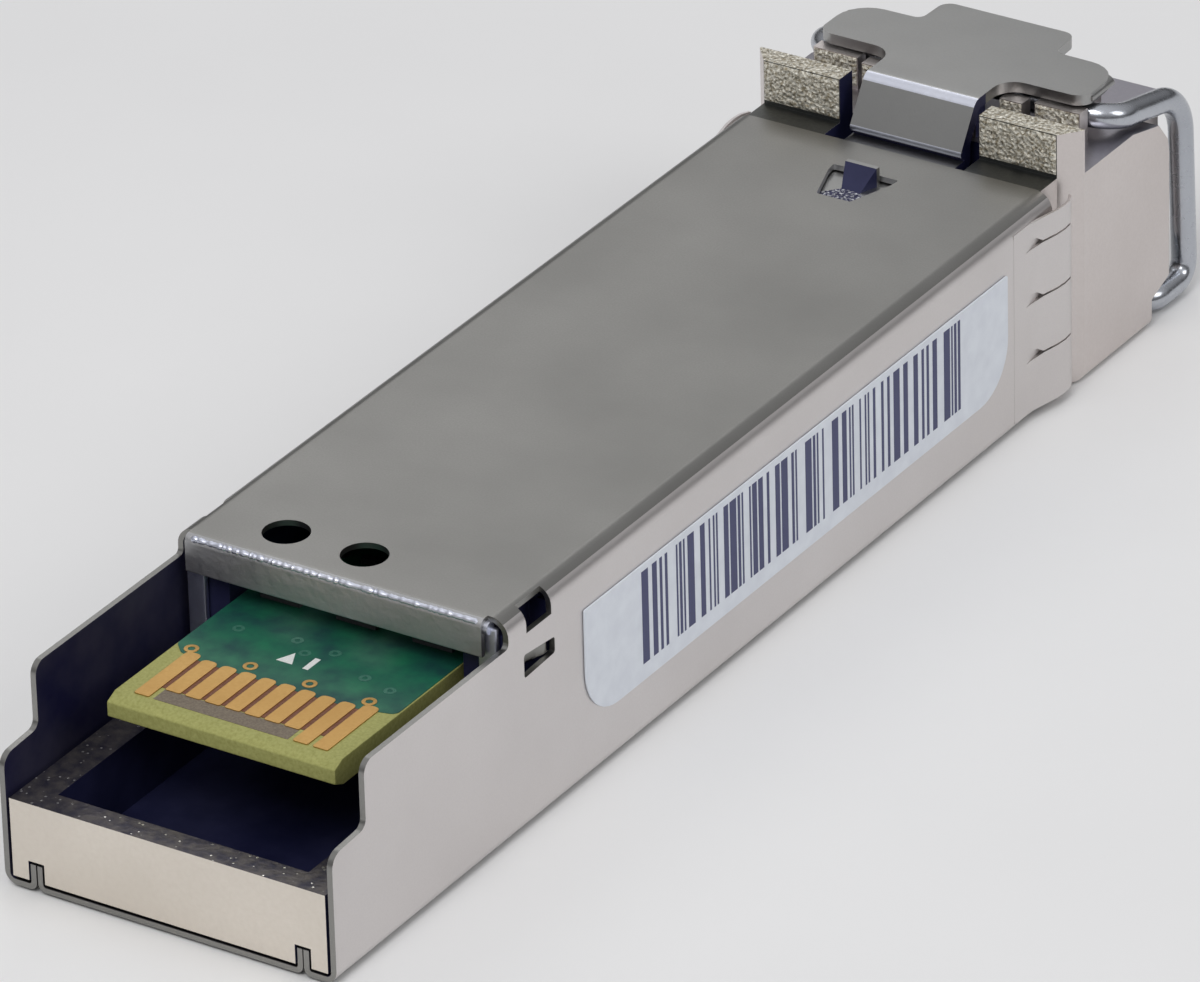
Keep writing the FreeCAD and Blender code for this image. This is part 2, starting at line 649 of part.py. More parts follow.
def sleeve(name, side):
    """Ceramic tube that lines up the plug's ferrule with the fibre stub."""
    return turned(name, side, [
        ("ferrule_radius", "0.65"), ("sleeve_radius", "0.65"), ("sleeve_radius", "snout_front-0.45"),
        ("ferrule_radius", "snout_front-0.45"),
    ])


def fibre_stub(name, side):
    """Ceramic stub behind the sleeve and the plug's ferrule."""
    return turned(name, side, [
        ("0", "-2.9"), ("stub_radius", "-2.9"), ("stub_radius", "0.5"), ("stub_radius-0.1", "0.6"), ("0", "0.6"),
    ])


def header(name, side):
    """Can with its header and four pins."""
    axis = f"{side}*port_offset"
    items = [
        rod(name + "_can", "can_radius", axis, "port_axis", "-5.6", "-3.25"),
        rod(name + "_disc", "header_radius", axis, "port_axis", "-6.4", "-5.6"),
    ]
    for k, (turn_x, turn_z) in enumerate(pin_places()):
        items.append(rod(f"{name}_pin_{k}", "pin_radius", f"{axis}+{turn_x}", f"port_axis+{turn_z}",
                         "-7.6", "-6.4"))
    return fuse(name, items)


def pin_places():
    """Pins at the corners of a square on the pin circle."""
    reach = "pin_circle*0.7071"
    signs = [(-1, -1), (1, -1), (1, 1), (-1, 1)][:PINS]
    return [(f"{a}*{reach}", f"{b}*{reach}") for a, b in signs]


def flex(name, side, upper):
    """Flexible circuit from a header's pins to one face of the board."""
    axis = f"{side}*port_offset"
    half = "1.5"
    low, high = ("board_top+0.02", "board_top+0.02+flex_thick")
    if not upper:
        low, high = ("board_top-board_thick-0.02-flex_thick", "board_top-board_thick-0.02")
    across = (f"{axis}-{half}", f"{axis}+{half}")
    # The tail ends where the seats of the casting leave room beside it.
    tail = span(side, "1.7", "4")
    wall_low, wall_high = ("2.9", high) if upper else (low, "6.7")
    sheet_piece = fuse(name + "_sheet", [
        block(name + "_wall", across, ("-7.2", "-7.2+flex_thick"), (wall_low, wall_high)),
        block(name + "_tail", tail, ("-11.5", "-7.1"), (low, high)),
    ])
    holes = [rod(f"{name}_hole_{k}", "pin_radius+0.06", f"{axis}+{a}", f"port_axis+{b}", "-7.5", "-6.8")
             for k, (a, b) in enumerate(pin_places())]
    return cut(name, sheet_piece, holes)


def optics_clamp():
    """Steel plate dropped behind the barrel flanges, open downwards over each barrel."""
    plate = block("clamp_plate", ("-5.95", "5.95"), ("-2.6", "-2"), ("1.15", "core_top-0.05"))
    tools = [block("clamp_arm_gap", ("-arm_half-0.3", "arm_half+0.3"), ("-3", "-1"), ("6.75", "height"))]
    for side, tag in zip(SIDES, ("left", "right")):
        axis = f"{side}*port_offset"
        reach = "barrel_radius+0.05"
        tools.append(block(f"clamp_slot_{tag}", (f"{axis}-({reach})", f"{axis}+{reach}"), ("-3", "-1"),
                           ("0", "port_axis")))
        tools.append(rod(f"clamp_seat_{tag}", reach, axis, "port_axis", "-3", "-1"))
    return cut("optics_clamp", plate, tools)


# ---------------------------------------------------------------- electronics

def circuit_board():
    """Board with a bevelled card edge."""
    body = new_body("circuit_board")
    low, bevel = "board_top-board_thick", "0.2"
    corners = [
        ("board_rear", f"{low}+{bevel}"), ("board_rear+0.5", low), ("board_front", low),
        ("board_front", "board_top"), ("board_rear+0.5", "board_top"), ("board_rear", f"board_top-{bevel}"),
    ]
    pad(body, outline(body, "board_side", "YZ_Plane", [corners]), "2*board_half", middle=True)
    return body


def edge_contacts(name, low, long_pads):
    """Ten contacts on one face; the longer ones reach closer to the card edge."""
    items = []
    for k in range(PADS):
        centre = f"({k}-{PADS - 1}/2)*pad_pitch"
        start = "board_rear+0.62" if k in long_pads else "board_rear+1.3"
        items.append(block(f"{name}_{k}", (f"{centre}-pad_width/2", f"{centre}+pad_width/2"),
                           (start, "board_rear+4.3"), (low, f"{low}+pad_thick")))
    return group(name, items)


def chip(name, x, y, side, thick, upper=True):
    """A square chip on the board."""
    half = side / 2
    low = "board_top+0.02" if upper else f"board_top-board_thick-0.02-{thick}"
    return block(name, (x - half, x + half), (y - half, y + half), (low, f"{low}+{thick}"))


def small_parts(name, places, size):
    """Equal small parts on the board's upper face, lying across the module."""
    length, width, thick = size
    return group(name, [
        block(f"{name}_{k}", (x - length / 2, x + length / 2), (y - width / 2, y + width / 2),
              ("board_top+0.01", f"board_top+0.01+{thick}"))
        for k, (x, y) in enumerate(places)
    ])


def grid(columns, rows):
    return [(x, y) for y in rows for x in columns]


def nodes():
    """Every sub-part, by node name."""
    pieces = {
        "die_cast_base": die_cast_base(),
        "shell": shell(),
        "floor_plate": floor_plate(),
        "emi_collar": emi_collar(),
        "side_label": side_label(),
        "bail": bail(),
        "latch_lever": latch_lever(),
        "latch_spring": latch_spring(),
        "optics_clamp": optics_clamp(),
        "circuit_board": circuit_board(),
        "edge_contacts_upper": edge_contacts("edge_contacts_upper", "board_top+0.005", (0, 8, 9)),
        "edge_contacts_lower": edge_contacts("edge_contacts_lower", "board_top-board_thick-0.005-pad_thick",
                                             (0, 9)),
        "laser_driver_ic": chip("laser_driver_ic", -2.1, -15, 3, 0.8),
        "limiting_amplifier_ic": chip("limiting_amplifier_ic", 2.1, -15, 3, 0.8),
        "controller_ic": chip("controller_ic", 0, -24, 5, 0.9),
        "memory_ic": chip("memory_ic", 0, -20, 3, 0.75, upper=False),
        "capacitors": small_parts("capacitors", grid((-3.4, -1.1, 1.1, 3.4), (-18.4, -19.6, -28.2)),
                                  (1.0, 0.5, 0.5)),
        "resistors": small_parts("resistors", grid((-3.2, -1.9, 1.9, 3.2), (-29.6, -30.8)), (0.6, 0.3, 0.25)),
        "ferrite_beads": small_parts("ferrite_beads", [(-3.1, -33), (0, -33), (3.1, -33)], (1.6, 0.8, 0.7)),
    }
    for side, tag in zip(SIDES, ("rx", "tx")):
        pieces[f"{tag}_receptacle"] = receptacle(f"{tag}_receptacle", side)
        pieces[f"{tag}_sleeve"] = sleeve(f"{tag}_sleeve", side)
        pieces[f"{tag}_fibre_stub"] = fibre_stub(f"{tag}_fibre_stub", side)
        pieces[f"{tag}_optical_can"] = header(f"{tag}_optical_can", side)
        pieces[f"{tag}_flex"] = flex(f"{tag}_flex", side, upper=(tag == "tx"))
    pieces["thermal_pad"] = block("thermal_pad", ("-2.3", "2.3"), ("-26.3", "-21.7"),
                                  ("board_top+0.95", "height-sheet-0.03"))
    return pieces


def main():
    pieces = nodes()
    doc.recompute()
    for item in doc.Objects:
        if "Invalid" in item.State or "Error" in item.State:
            raise RuntimeError(f"{item.Name} failed: {item.State}")
    os.makedirs("parts", exist_ok=True)
    for name, item in pieces.items():
        item.Label = name
        shape = item.Shape
        if shape.isNull() or not shape.isValid():
            raise RuntimeError(f"{name} has no valid shape")
        shape.exportStep(f"parts/{name}.step")
        print(f"{name}: {len(shape.Solids)} solid(s), {shape.Volume:.2f} mm3")


main()
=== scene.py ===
import json
import math
import random

import bmesh
import bpy
from mathutils import Matrix, Vector


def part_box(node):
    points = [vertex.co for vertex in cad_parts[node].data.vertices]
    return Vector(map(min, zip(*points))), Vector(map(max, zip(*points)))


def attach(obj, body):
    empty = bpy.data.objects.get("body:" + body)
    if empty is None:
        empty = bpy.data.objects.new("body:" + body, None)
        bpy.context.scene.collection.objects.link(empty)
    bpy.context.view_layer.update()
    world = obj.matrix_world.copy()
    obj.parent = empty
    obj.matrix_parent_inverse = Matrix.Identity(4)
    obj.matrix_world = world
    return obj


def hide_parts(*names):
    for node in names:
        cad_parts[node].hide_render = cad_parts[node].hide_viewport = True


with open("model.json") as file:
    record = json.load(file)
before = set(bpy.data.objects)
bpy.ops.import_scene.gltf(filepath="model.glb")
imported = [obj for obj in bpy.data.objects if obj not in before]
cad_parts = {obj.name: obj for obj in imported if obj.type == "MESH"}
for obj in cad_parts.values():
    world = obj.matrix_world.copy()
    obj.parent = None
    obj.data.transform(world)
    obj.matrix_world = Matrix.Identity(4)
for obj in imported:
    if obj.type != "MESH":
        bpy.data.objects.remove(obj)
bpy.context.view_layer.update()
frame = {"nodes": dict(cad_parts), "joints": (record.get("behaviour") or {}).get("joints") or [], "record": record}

# Lengths are in millimetres unless a name says otherwise; finished meshes are scaled to metres.
MM = 0.001
SIDES = (-1, 1)


def box_mm(node):
    """Lowest and highest corner of a CAD node in millimetres."""
    low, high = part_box(node)
    return low / MM, high / MM


# ------------------------------------------------------------------ sizes from the frame

SHELL_LOW, SHELL_HIGH = box_mm("shell")
HALF = SHELL_HIGH.x
TOP = SHELL_HIGH.z
REAR = SHELL_LOW.y
SHELL_FRONT = SHELL_HIGH.y
STOP_TOP = box_mm("die_cast_base")[1].z
LEVER_LOW, LEVER_HIGH = box_mm("latch_lever")
BOARD_LOW, BOARD_HIGH = box_mm("circuit_board")
LABEL_LOW, LABEL_HIGH = box_mm("side_label")
JOINTS = {joint["name"]: joint for joint in frame["joints"]}
BAIL_AXIS = Vector(JOINTS["bail_hinge"]["pos_m"]) / MM

SHEET = 0.22                      # shell and floor plate
INNER = HALF - SHEET              # inner face of the side walls
LIP = 5.4                         # inner face of the shell's turned-up lips
LIP_SHEET = 0.22
LIP_TOP = 1.0
OPENING = -34.6                   # rear edge of the upper wall
WALL_TOP = 7.45                   # side walls beside the card edge
FLANGE_LOW = 7.08                 # lower edge of the bent-down rear flange
FLANGE_LEFT, FLANGE_RIGHT = -6.1, 5.9
NOSE_REAR = 3.2
SHELF = TOP - 0.05                # top of the nose beside the latch
END_WALL_TOP = 3.35
TRAY_FRONT = -8.2                 # front end of the casting's tray
ARM_TOP = 8.22                    # upper face of the lever's arm
LEVER_SHEET = 0.42
TONGUE_HALF = 2.35                # half width of the lever's tongue
WIRE_RADIUS = 0.48
BAIL_HALF = box_mm("bail")[1].x - WIRE_RADIUS
CRANK = 0.3                       # offset of the bail's cranked middle
STEP_TOP = 4.9                    # low rear end of the side walls
TALL_REAR = -42.95                # where their taller part starts
MASK_THICK = 0.02                 # solder mask on the board


# ------------------------------------------------------------------ mesh helpers

def rounded(corners, steps=6):
    """A closed outline; a corner given as (a, b, radius) becomes an arc of that radius."""
    points = []
    for k, corner in enumerate(corners):
        here = Vector(corner[:2])
        if len(corner) == 2:
            points.append(here)
            continue
        back = (Vector(corners[k - 1][:2]) - here).normalized()
        ahead = (Vector(corners[(k + 1) % len(corners)][:2]) - here).normalized()
        points += arc_between(here, back, ahead, corner[2], steps)
    return points


def arc_between(corner, back, ahead, radius, steps):
    """Points of the arc that rounds a corner between two directions."""
    half = back.angle(ahead) / 2
    start = corner + back * radius / math.tan(half)
    end = corner + ahead * radius / math.tan(half)
    centre = corner + (back + ahead).normalized() * radius / math.sin(half)
    first, last = start - centre, end - centre
    turn = first.angle(last)
    points = []
    for step in range(steps + 1):
        share = step / steps
        a = math.sin((1 - share) * turn) / math.sin(turn)
        b = math.sin(share * turn) / math.sin(turn)
        points.append(centre + first * a + last * b)
    return points


def new_piece(name, bm):
    """A mesh object in millimetres from a bmesh."""
    bmesh.ops.recalc_face_normals(bm, faces=bm.faces)
    mesh = bpy.data.meshes.new(name)
    bm.to_mesh(mesh)
    bm.free()
    piece = bpy.data.objects.new(name, mesh)
    bpy.context.scene.collection.objects.link(piece)
    return piece


# Axis of extrusion: the places of the outline's two coordinates and of the extrusion.
AXES = {"x": (1, 2, 0), "y": (0, 2, 1), "z": (0, 1, 2)}


def prism(name, outline, axis, low, high):
    """The outline extruded along an axis."""
    first, second, along = AXES[axis]
    bm = bmesh.new()
    rings = []
    for level in (low, high):
        ring = []
        for point in outline:
            corner = [0.0, 0.0, 0.0]
            corner[first], corner[second], corner[along] = point[0], point[1], level
            ring.append(bm.verts.new(corner))
        rings.append(ring)
    bm.faces.new(rings[0])
    bm.faces.new(rings[1])
    skin(bm, rings, closed=True)
    return new_piece(name, bm)


def skin(bm, rings, closed):
    """Faces between neighbouring rings of equal length."""
    for near, far in zip(rings, rings[1:]):
        count = len(near)
        for k in range(count if closed else count - 1):
            following = (k + 1) % count
            bm.faces.new((near[k], near[following], far[following], far[k]))


def block(name, x, y, z):
    """A box from three (low, high) pairs."""
    return prism(name, [(x[0], y[0]), (x[1], y[0]), (x[1], y[1]), (x[0], y[1])], "z", z[0], z[1])


def disc_outline(a, b, radius, steps=32):
    """A circle as a closed outline."""
    turns = [2 * math.pi * k / steps for k in range(steps)]
    return [(a + radius * math.cos(t), b + radius * math.sin(t)) for t in turns]


def tube(name, path, radius, sides=20):
    """A round wire swept along a path, with flat ends."""
    bm = bmesh.new()
    rings = []
    side = Vector((0, 0, 1))
    for k, point in enumerate(path):
        before, after = path[max(k - 1, 0)], path[min(k + 1, len(path) - 1)]
        ahead = (after - before).normalized()
        side = (side - ahead * side.dot(ahead)).normalized()
        other = ahead.cross(side)
        ring = []
        for step in range(sides):
            turn = 2 * math.pi * step / sides
            ring.append(bm.verts.new(point + (side * math.cos(turn) + other * math.sin(turn)) * radius))
        rings.append(ring)
    bm.faces.new(rings[0])
    bm.faces.new(rings[-1])
    skin(bm, rings, closed=True)
    return new_piece(name, bm)


def curved_path(corners, steps=8):
    """An open path; a corner given as (point, radius) becomes an arc."""
    path = [corners[0][0]]
    for before, (corner, radius), after in zip(corners, corners[1:], corners[2:]):
        back = (before[0] - corner).normalized()
        ahead = (after[0] - corner).normalized()
        path += arc_between(corner, back, ahead, radius, steps)
    return path + [corners[-1][0]]


def apply_modifiers(piece):
    """Bake the modifiers into the mesh."""
    bpy.context.view_layer.update()
    graph = bpy.context.evaluated_depsgraph_get()
    mesh = bpy.data.meshes.new_from_object(piece.evaluated_get(graph))
    old = piece.data
    piece.modifiers.clear()
    piece.data = mesh
    bpy.data.meshes.remove(old)


def combine(piece, operation, tools):
    """Boolean the tools into or out of the piece and remove them."""
    for tool in tools:
        modifier = piece.modifiers.new("boolean", "BOOLEAN")
        modifier.operation = operation
        modifier.solver = "EXACT"
        modifier.object = tool
    apply_modifiers(piece)
    for tool in tools:
        mesh = tool.data
        bpy.data.objects.remove(tool)
        bpy.data.meshes.remove(mesh)
    return piece


def cut(piece, *tools):
    return combine(piece, "DIFFERENCE", tools)


def join(piece, *tools):
    return combine(piece, "UNION", tools)


def merge(piece, others):
    """Put separate solids into one piece without a boolean."""
    bm = bmesh.new()
    for item in [piece] + others:
        bm.from_mesh(item.data)
    bm.to_mesh(piece.data)
    bm.free()
    for item in others:
        mesh = item.data
        bpy.data.objects.remove(item)
        bpy.data.meshes.remove(mesh)
    return piece


def finish_piece(piece, body, material, bevel=0.04, replaces=()):
    """Soften the edges, scale to metres, give the finish and put the piece on its CAD body."""
    if bevel:
        modifier = piece.modifiers.new("bevel", "BEVEL")
        modifier.width = bevel
        modifier.segments = 2
        modifier.limit_method = "ANGLE"
        modifier.angle_limit = math.radians(34)
        apply_modifiers(piece)
    piece.data.shade_smooth()
    piece.data.set_sharp_from_angle(angle=math.radians(38))
    modifier = piece.modifiers.new("normals", "WEIGHTED_NORMAL")
    modifier.keep_sharp = True
    apply_modifiers(piece)
    piece.data.transform(Matrix.Scale(MM, 4))
    piece.data.materials.clear()
    for item in material if isinstance(material, (list, tuple)) else (material,):
        piece.data.materials.append(item)
    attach(piece, body)
    if replaces:
        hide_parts(*replaces)
    return piece


def paint(piece, material, test):
    """Give one of its materials to the piece's faces whose centre (mm) and normal pass the test."""
    index = list(piece.data.materials).index(material)
    for face in piece.data.polygons:
        if test(face.center / MM, face.normal):
            face.material_index = index
    return piece


# ------------------------------------------------------------------ materials

class Nodes:
    """A small helper that adds and links shader nodes in millimetre coordinates."""

    def __init__(self, name):
        self.material = bpy.data.materials.new(name)
        self.material.use_nodes = True
        self.tree = self.material.node_tree
        self.tree.nodes.clear()
        self.shader = self.add("ShaderNodeBsdfPrincipled")
        output = self.add("ShaderNodeOutputMaterial")
        self.link(self.shader.outputs[0], output.inputs[0])
        place = self.add("ShaderNodeTexCoord")
        scale = self.add("ShaderNodeVectorMath", operation="SCALE")
        scale.inputs["Scale"].default_value = 1 / MM
        self.link(place.outputs["Object"], scale.inputs[0])
        self.place = scale.outputs[0]

    def add(self, kind, **settings):
        node = self.tree.nodes.new(kind)
        for key, setting in settings.items():
            setattr(node, key, setting)
        return node

    def link(self, source, target):
        self.tree.links.new(source, target)

    def stretched(self, stretch):
        """The place with each axis multiplied, which squeezes a texture along it."""
        node = self.add("ShaderNodeVectorMath", operation="MULTIPLY")
        self.link(self.place, node.inputs[0])
        node.inputs[1].default_value = stretch
        return node.outputs[0]

    def noise(self, scale, detail=3, stretch=None):
        node = self.add("ShaderNodeTexNoise")
        node.inputs["Scale"].default_value = scale
        node.inputs["Detail"].default_value = detail
        self.link(self.stretched(stretch) if stretch else self.place, node.inputs["Vector"])
        return node.outputs["Fac"]

    def cells(self, scale):
        node = self.add("ShaderNodeTexVoronoi")
        node.inputs["Scale"].default_value = scale
        self.link(self.place, node.inputs["Vector"])
        return node.outputs["Distance"]

    def mapped(self, source, low, high, from_low=0.3, from_high=0.7):
        """A value moved from one range to another and clamped."""
        node = self.add("ShaderNodeMapRange")
        node.inputs["From Min"].default_value = from_low
        node.inputs["From Max"].default_value = from_high
        node.inputs["To Min"].default_value = low
        node.inputs["To Max"].default_value = high
        self.link(source, node.inputs["Value"])
        return node.outputs[0]

    def blend(self, share, first, second):
        """Mix two colours by a value between 0 and 1; a colour may be a socket."""
        node = self.add("ShaderNodeMix", data_type="RGBA")
        self.link(share, node.inputs["Factor"])
        for socket, colour in ((node.inputs[6], first), (node.inputs[7], second)):
            if isinstance(colour, tuple):
                socket.default_value = (*colour, 1)
            else:
                self.link(colour, socket)
        return node.outputs[2]

    def bump(self, height, distance, strength=1.0, under=None):
        """A bump with its depth in millimetres, stacked on another normal."""
        node = self.add("ShaderNodeBump")
        node.inputs["Strength"].default_value = strength
        node.inputs["Distance"].default_value = distance * MM
        self.link(height, node.inputs["Height"])
        if under:
            self.link(under, node.inputs["Normal"])
        return node.outputs[0]

    def set(self, **inputs):
        """Set or link the shader's inputs; underscores stand for spaces."""
        for key, setting in inputs.items():
            socket = self.shader.inputs[key.replace("_", " ")]
            if isinstance(setting, bpy.types.NodeSocket):
                self.link(setting, socket)
            else:
                socket.default_value = (*setting, 1) if isinstance(setting, tuple) else setting
        return self


def plated_metal(name, light, dark, rough, grain=14.0, stretch=(1, 1, 1), depth=0.0016):
    """Nickel-plated metal: faint clouds, soft grain and a slightly uneven face."""
    m = Nodes(name)
    cloud = m.noise(0.12, 5)
    grain_fac = m.noise(grain, 3, stretch)
    tone = m.blend(m.mapped(cloud, 0, 1), light, dark)
    speck = m.blend(m.mapped(grain_fac, 0.0, 0.35, 0.2, 0.8), tone, dark)
    m.set(Base_Color=speck, Metallic=1.0, Roughness=m.mapped(grain_fac, rough - 0.04, rough + 0.05))
    waves = m.bump(m.noise(0.5, 2), depth * 4)
    m.set(Normal=m.bump(grain_fac, depth, under=waves))
    return m.material


def specked_metal(name, light, dark, speck):
    """Cast face in the given tones with sparse bright grains."""
    m = Nodes(name)
    grain_fac = m.noise(2.5, 5)
    tone = m.blend(m.mapped(grain_fac, 0, 1), light, dark)
    grains = m.mapped(m.cells(3.4), 1, 0, 0.08, 0.17)
    m.set(Base_Color=m.blend(grains, tone, speck), Metallic=0.8, Roughness=m.mapped(grains, 0.42, 0.15))
    m.set(Normal=m.bump(m.noise(5, 3), 0.02))
    return m.material


def rough_metal(name, light, dark, low=0.36, high=0.64):
    """Broken or trimmed cast face: glittering facets in a brownish metal."""
    m = Nodes(name)
    facets = m.cells(5.5)
    fine = m.noise(9, 4)
    m.set(Base_Color=m.blend(m.mapped(fine, 0, 1, low, high), light, dark), Metallic=0.25)
    m.set(Roughness=m.mapped(fine, 0.22, 0.5))
    m.set(Normal=m.bump(fine, 0.09, under=m.bump(facets, 0.12)))
    return m.material


def plain_surface(name, light, dark, rough, metallic=0.0, scale=6.0, depth=0.01):
    """A surface with a mottled tone and a fine uneven face."""
    m = Nodes(name)
    grain = m.noise(scale, 4)
    m.set(Base_Color=m.blend(m.mapped(grain, 0, 1), light, dark), Metallic=metallic)
    m.set(Roughness=m.mapped(grain, max(rough - 0.08, 0.03), rough + 0.08))
    m.set(Normal=m.bump(m.noise(scale * 3, 2), depth))
    return m.material


SHELL_METAL = plated_metal("shell_nickel", (0.345, 0.34, 0.325), (0.26, 0.257, 0.245), 0.36)
# Brighter copy of the shell nickel for the side faces and the collar: painted light.
LIT_SIDE_METAL = plated_metal("shell_side_lit_nickel", (0.72, 0.69, 0.68), (0.64, 0.61, 0.60), 0.38)
CAST_METAL = plated_metal("cast_nickel", (0.72, 0.67, 0.65), (0.63, 0.58, 0.56), 0.38, grain=9)
END_METAL = plated_metal("cast_end_nickel", (0.86, 0.80, 0.72), (0.74, 0.68, 0.60), 0.42,
                         grain=5, depth=0.012)
# Lighter, rougher copy of the sheet for the flange face and the boss hole walls: painted light and painted
# highlight.
LIT_FLANGE_METAL = plated_metal("flange_lit_nickel", (0.66, 0.66, 0.67), (0.46, 0.46, 0.47), 0.5,
                            grain=3.5, depth=0.02)
LEVER_METAL = plated_metal("lever_nickel", (0.41, 0.41, 0.40), (0.35, 0.35, 0.345), 0.33)
WIRE_METAL = plated_metal("wire_nickel", (0.56, 0.58, 0.62), (0.44, 0.46, 0.50), 0.24,
                          grain=5, stretch=(0.3, 1, 1))
SPRING_METAL = plated_metal("spring_nickel", (0.72, 0.71, 0.70), (0.60, 0.59, 0.58), 0.28)
ROUGH_CAST = rough_metal("cast_trimmed", (1.0, 0.97, 0.86), (0.34, 0.29, 0.20))
# Dark navy with bright specks for the lever's arm under the shell: painted shade with painted glints.
ARM_SHADE_GLINT = rough_metal("arm_shade_glint", (0.95, 0.97, 1.0), (0.05, 0.05, 0.11), 0.34, 0.5)
# Dark top of the casting's tray rim, with bright grains: painted shade.
SHADED_CAST_TOP = specked_metal("cast_top_shade", (0.17, 0.155, 0.15), (0.06, 0.058, 0.085), (0.95, 0.93, 0.88))
SHADE_CAST = plated_metal("cast_shade", (0.16, 0.165, 0.155), (0.09, 0.095, 0.10), 0.4, grain=7, depth=0.01)
# Darker copy of the casting for the nose's upper faces near the wire: painted shade.
SHADED_LEDGE_CAST = plated_metal("cast_ledge_shade", (0.46, 0.44, 0.47), (0.34, 0.33, 0.37), 0.36, grain=7)
# Pale metal for folds, the flange ridge and the rail edges: painted highlight.
HIGHLIGHT_METAL = plated_metal("edge_highlight", (0.88, 0.90, 0.98), (0.70, 0.73, 0.85), 0.4, grain=6)
# Near-black navy for hollows and faces under other parts: painted shade.
INSIDE_SHADE = plain_surface("inside_shade", (0.036, 0.039, 0.105), (0.012, 0.014, 0.055), 0.38, metallic=0.3,
                       scale=0.5, depth=0.004)
# Near-black navy for the inner faces of the side walls: painted shade.
INNER_WALL_SHADE = plain_surface("inner_wall_shade", (0.075, 0.072, 0.12), (0.014, 0.014, 0.062), 0.40,
                           metallic=0.5, scale=0.35, depth=0.006)
TRACE_GAP = plain_surface("trace_gap", (0.20, 0.07, 0.03), (0.13, 0.045, 0.02), 0.5, scale=12)
GOLD = plated_metal("contact_gold", (0.66, 0.42, 0.15), (0.50, 0.29, 0.09), 0.34, grain=8)
MASK = plain_surface("solder_mask", (0.010, 0.15, 0.075), (0.005, 0.06, 0.055), 0.5, scale=0.9, depth=0.001)
LAMINATE = plain_surface("laminate", (0.40, 0.40, 0.13), (0.30, 0.30, 0.085), 0.55, scale=9)
BARE_STRIP = plain_surface("laminate_bare", (0.22, 0.18, 0.13), (0.15, 0.12, 0.09), 0.6, scale=14)
VIA_TINT = plain_surface("via_tint", (0.05, 0.19, 0.13), (0.03, 0.12, 0.09), 0.35, scale=9)
SILK = plain_surface("silkscreen", (0.85, 0.86, 0.84), (0.70, 0.72, 0.70), 0.6, scale=20)
PAPER = plain_surface("label_paper", (0.76, 0.80, 0.86), (0.70, 0.735, 0.80), 0.45, scale=1.5, depth=0.004)
INK = plain_surface("label_ink", (0.035, 0.04, 0.12), (0.06, 0.065, 0.16), 0.5, scale=12, depth=0.004)
CHIP = plain_surface("chip_compound", (0.018, 0.018, 0.02), (0.03, 0.03, 0.032), 0.5, scale=18)
CAPACITOR = plain_surface("capacitor_body", (0.36, 0.25, 0.16), (0.28, 0.19, 0.12), 0.45, scale=15)
RESISTOR = plain_surface("resistor_body", (0.02, 0.02, 0.025), (0.05, 0.05, 0.06), 0.4, scale=20)
FERRITE = plain_surface("ferrite_body", (0.06, 0.06, 0.065), (0.09, 0.09, 0.095), 0.6, scale=16)
STEEL = plated_metal("barrel_steel", (0.62, 0.62, 0.63), (0.50, 0.50, 0.51), 0.22,
                     grain=6, stretch=(1, 14, 1))
CLAMP = plated_metal("clamp_steel", (0.55, 0.55, 0.56), (0.44, 0.44, 0.45), 0.34)
ZIRCONIA = plain_surface("zirconia", (0.86, 0.86, 0.83), (0.80, 0.80, 0.77), 0.2, scale=8, depth=0.002)
CAN_GOLD = plated_metal("can_gold", (0.80, 0.62, 0.33), (0.66, 0.50, 0.25), 0.26, grain=10)
POLYIMIDE = plain_surface("polyimide", (0.50, 0.24, 0.04), (0.40, 0.18, 0.03), 0.3, scale=5)
GEL = plain_surface("thermal_gel", (0.30, 0.40, 0.56), (0.24, 0.33, 0.48), 0.7, scale=7)

SLOT_FINISH = {
    "cast_zinc": CAST_METAL, "shell_sheet": SHELL_METAL, "spring_sheet": SPRING_METAL, "label": PAPER,
    "clamp_steel": CLAMP, "board": LAMINATE, "gold": GOLD, "chip_plastic": CHIP,
    "capacitor_ceramic": CAPACITOR, "resistor_film": RESISTOR, "ferrite": FERRITE, "barrel_steel": STEEL,
    "zirconia": ZIRCONIA, "can_gold": CAN_GOLD, "flex_polyimide": POLYIMIDE, "thermal_gel": GEL,
    "latch_sheet": LEVER_METAL, "bail_wire": WIRE_METAL,
}


def finish_cad_nodes():
    """The carried-over CAD nodes take the finish of their slot and a fine edge."""
    for entry in frame["record"]["subparts"]:
        item = frame["nodes"][entry["node"]]
        item.data.materials.clear()
        item.data.materials.append(SLOT_FINISH[entry["material_slot"]])
        bevel = item.modifiers.new("edge", "BEVEL")
        bevel.width = 0.03 * MM
        bevel.segments = 2
        bevel.limit_method = "ANGLE"
        bevel.angle_limit = math.radians(40)


# ------------------------------------------------------------------ shell and floor plate

def both_sides(corners):
    """The corners and then their mirror images, as one closed outline."""
    return corners + [(-c[0], *c[1:]) for c in reversed(corners)]


def shell_section():
    """Cross-section of the folded sheet: upper wall, side walls and turned-up lips."""
    outside = [(LIP, 0, 0.3), (HALF, 0, 0.5), (HALF, TOP, 0.7)]
    inside = [(INNER, TOP - SHEET, 0.42), (INNER, SHEET, 0.2), (LIP + LIP_SHEET, SHEET, 0.1),
              (LIP + LIP_SHEET, LIP_TOP), (LIP, LIP_TOP)]
    left_out = [(-c[0], *c[1:]) for c in reversed(outside)]
    left_in = [(-c[0], *c[1:]) for c in reversed(inside)]
    return rounded(outside + left_out + left_in + inside, steps=8)


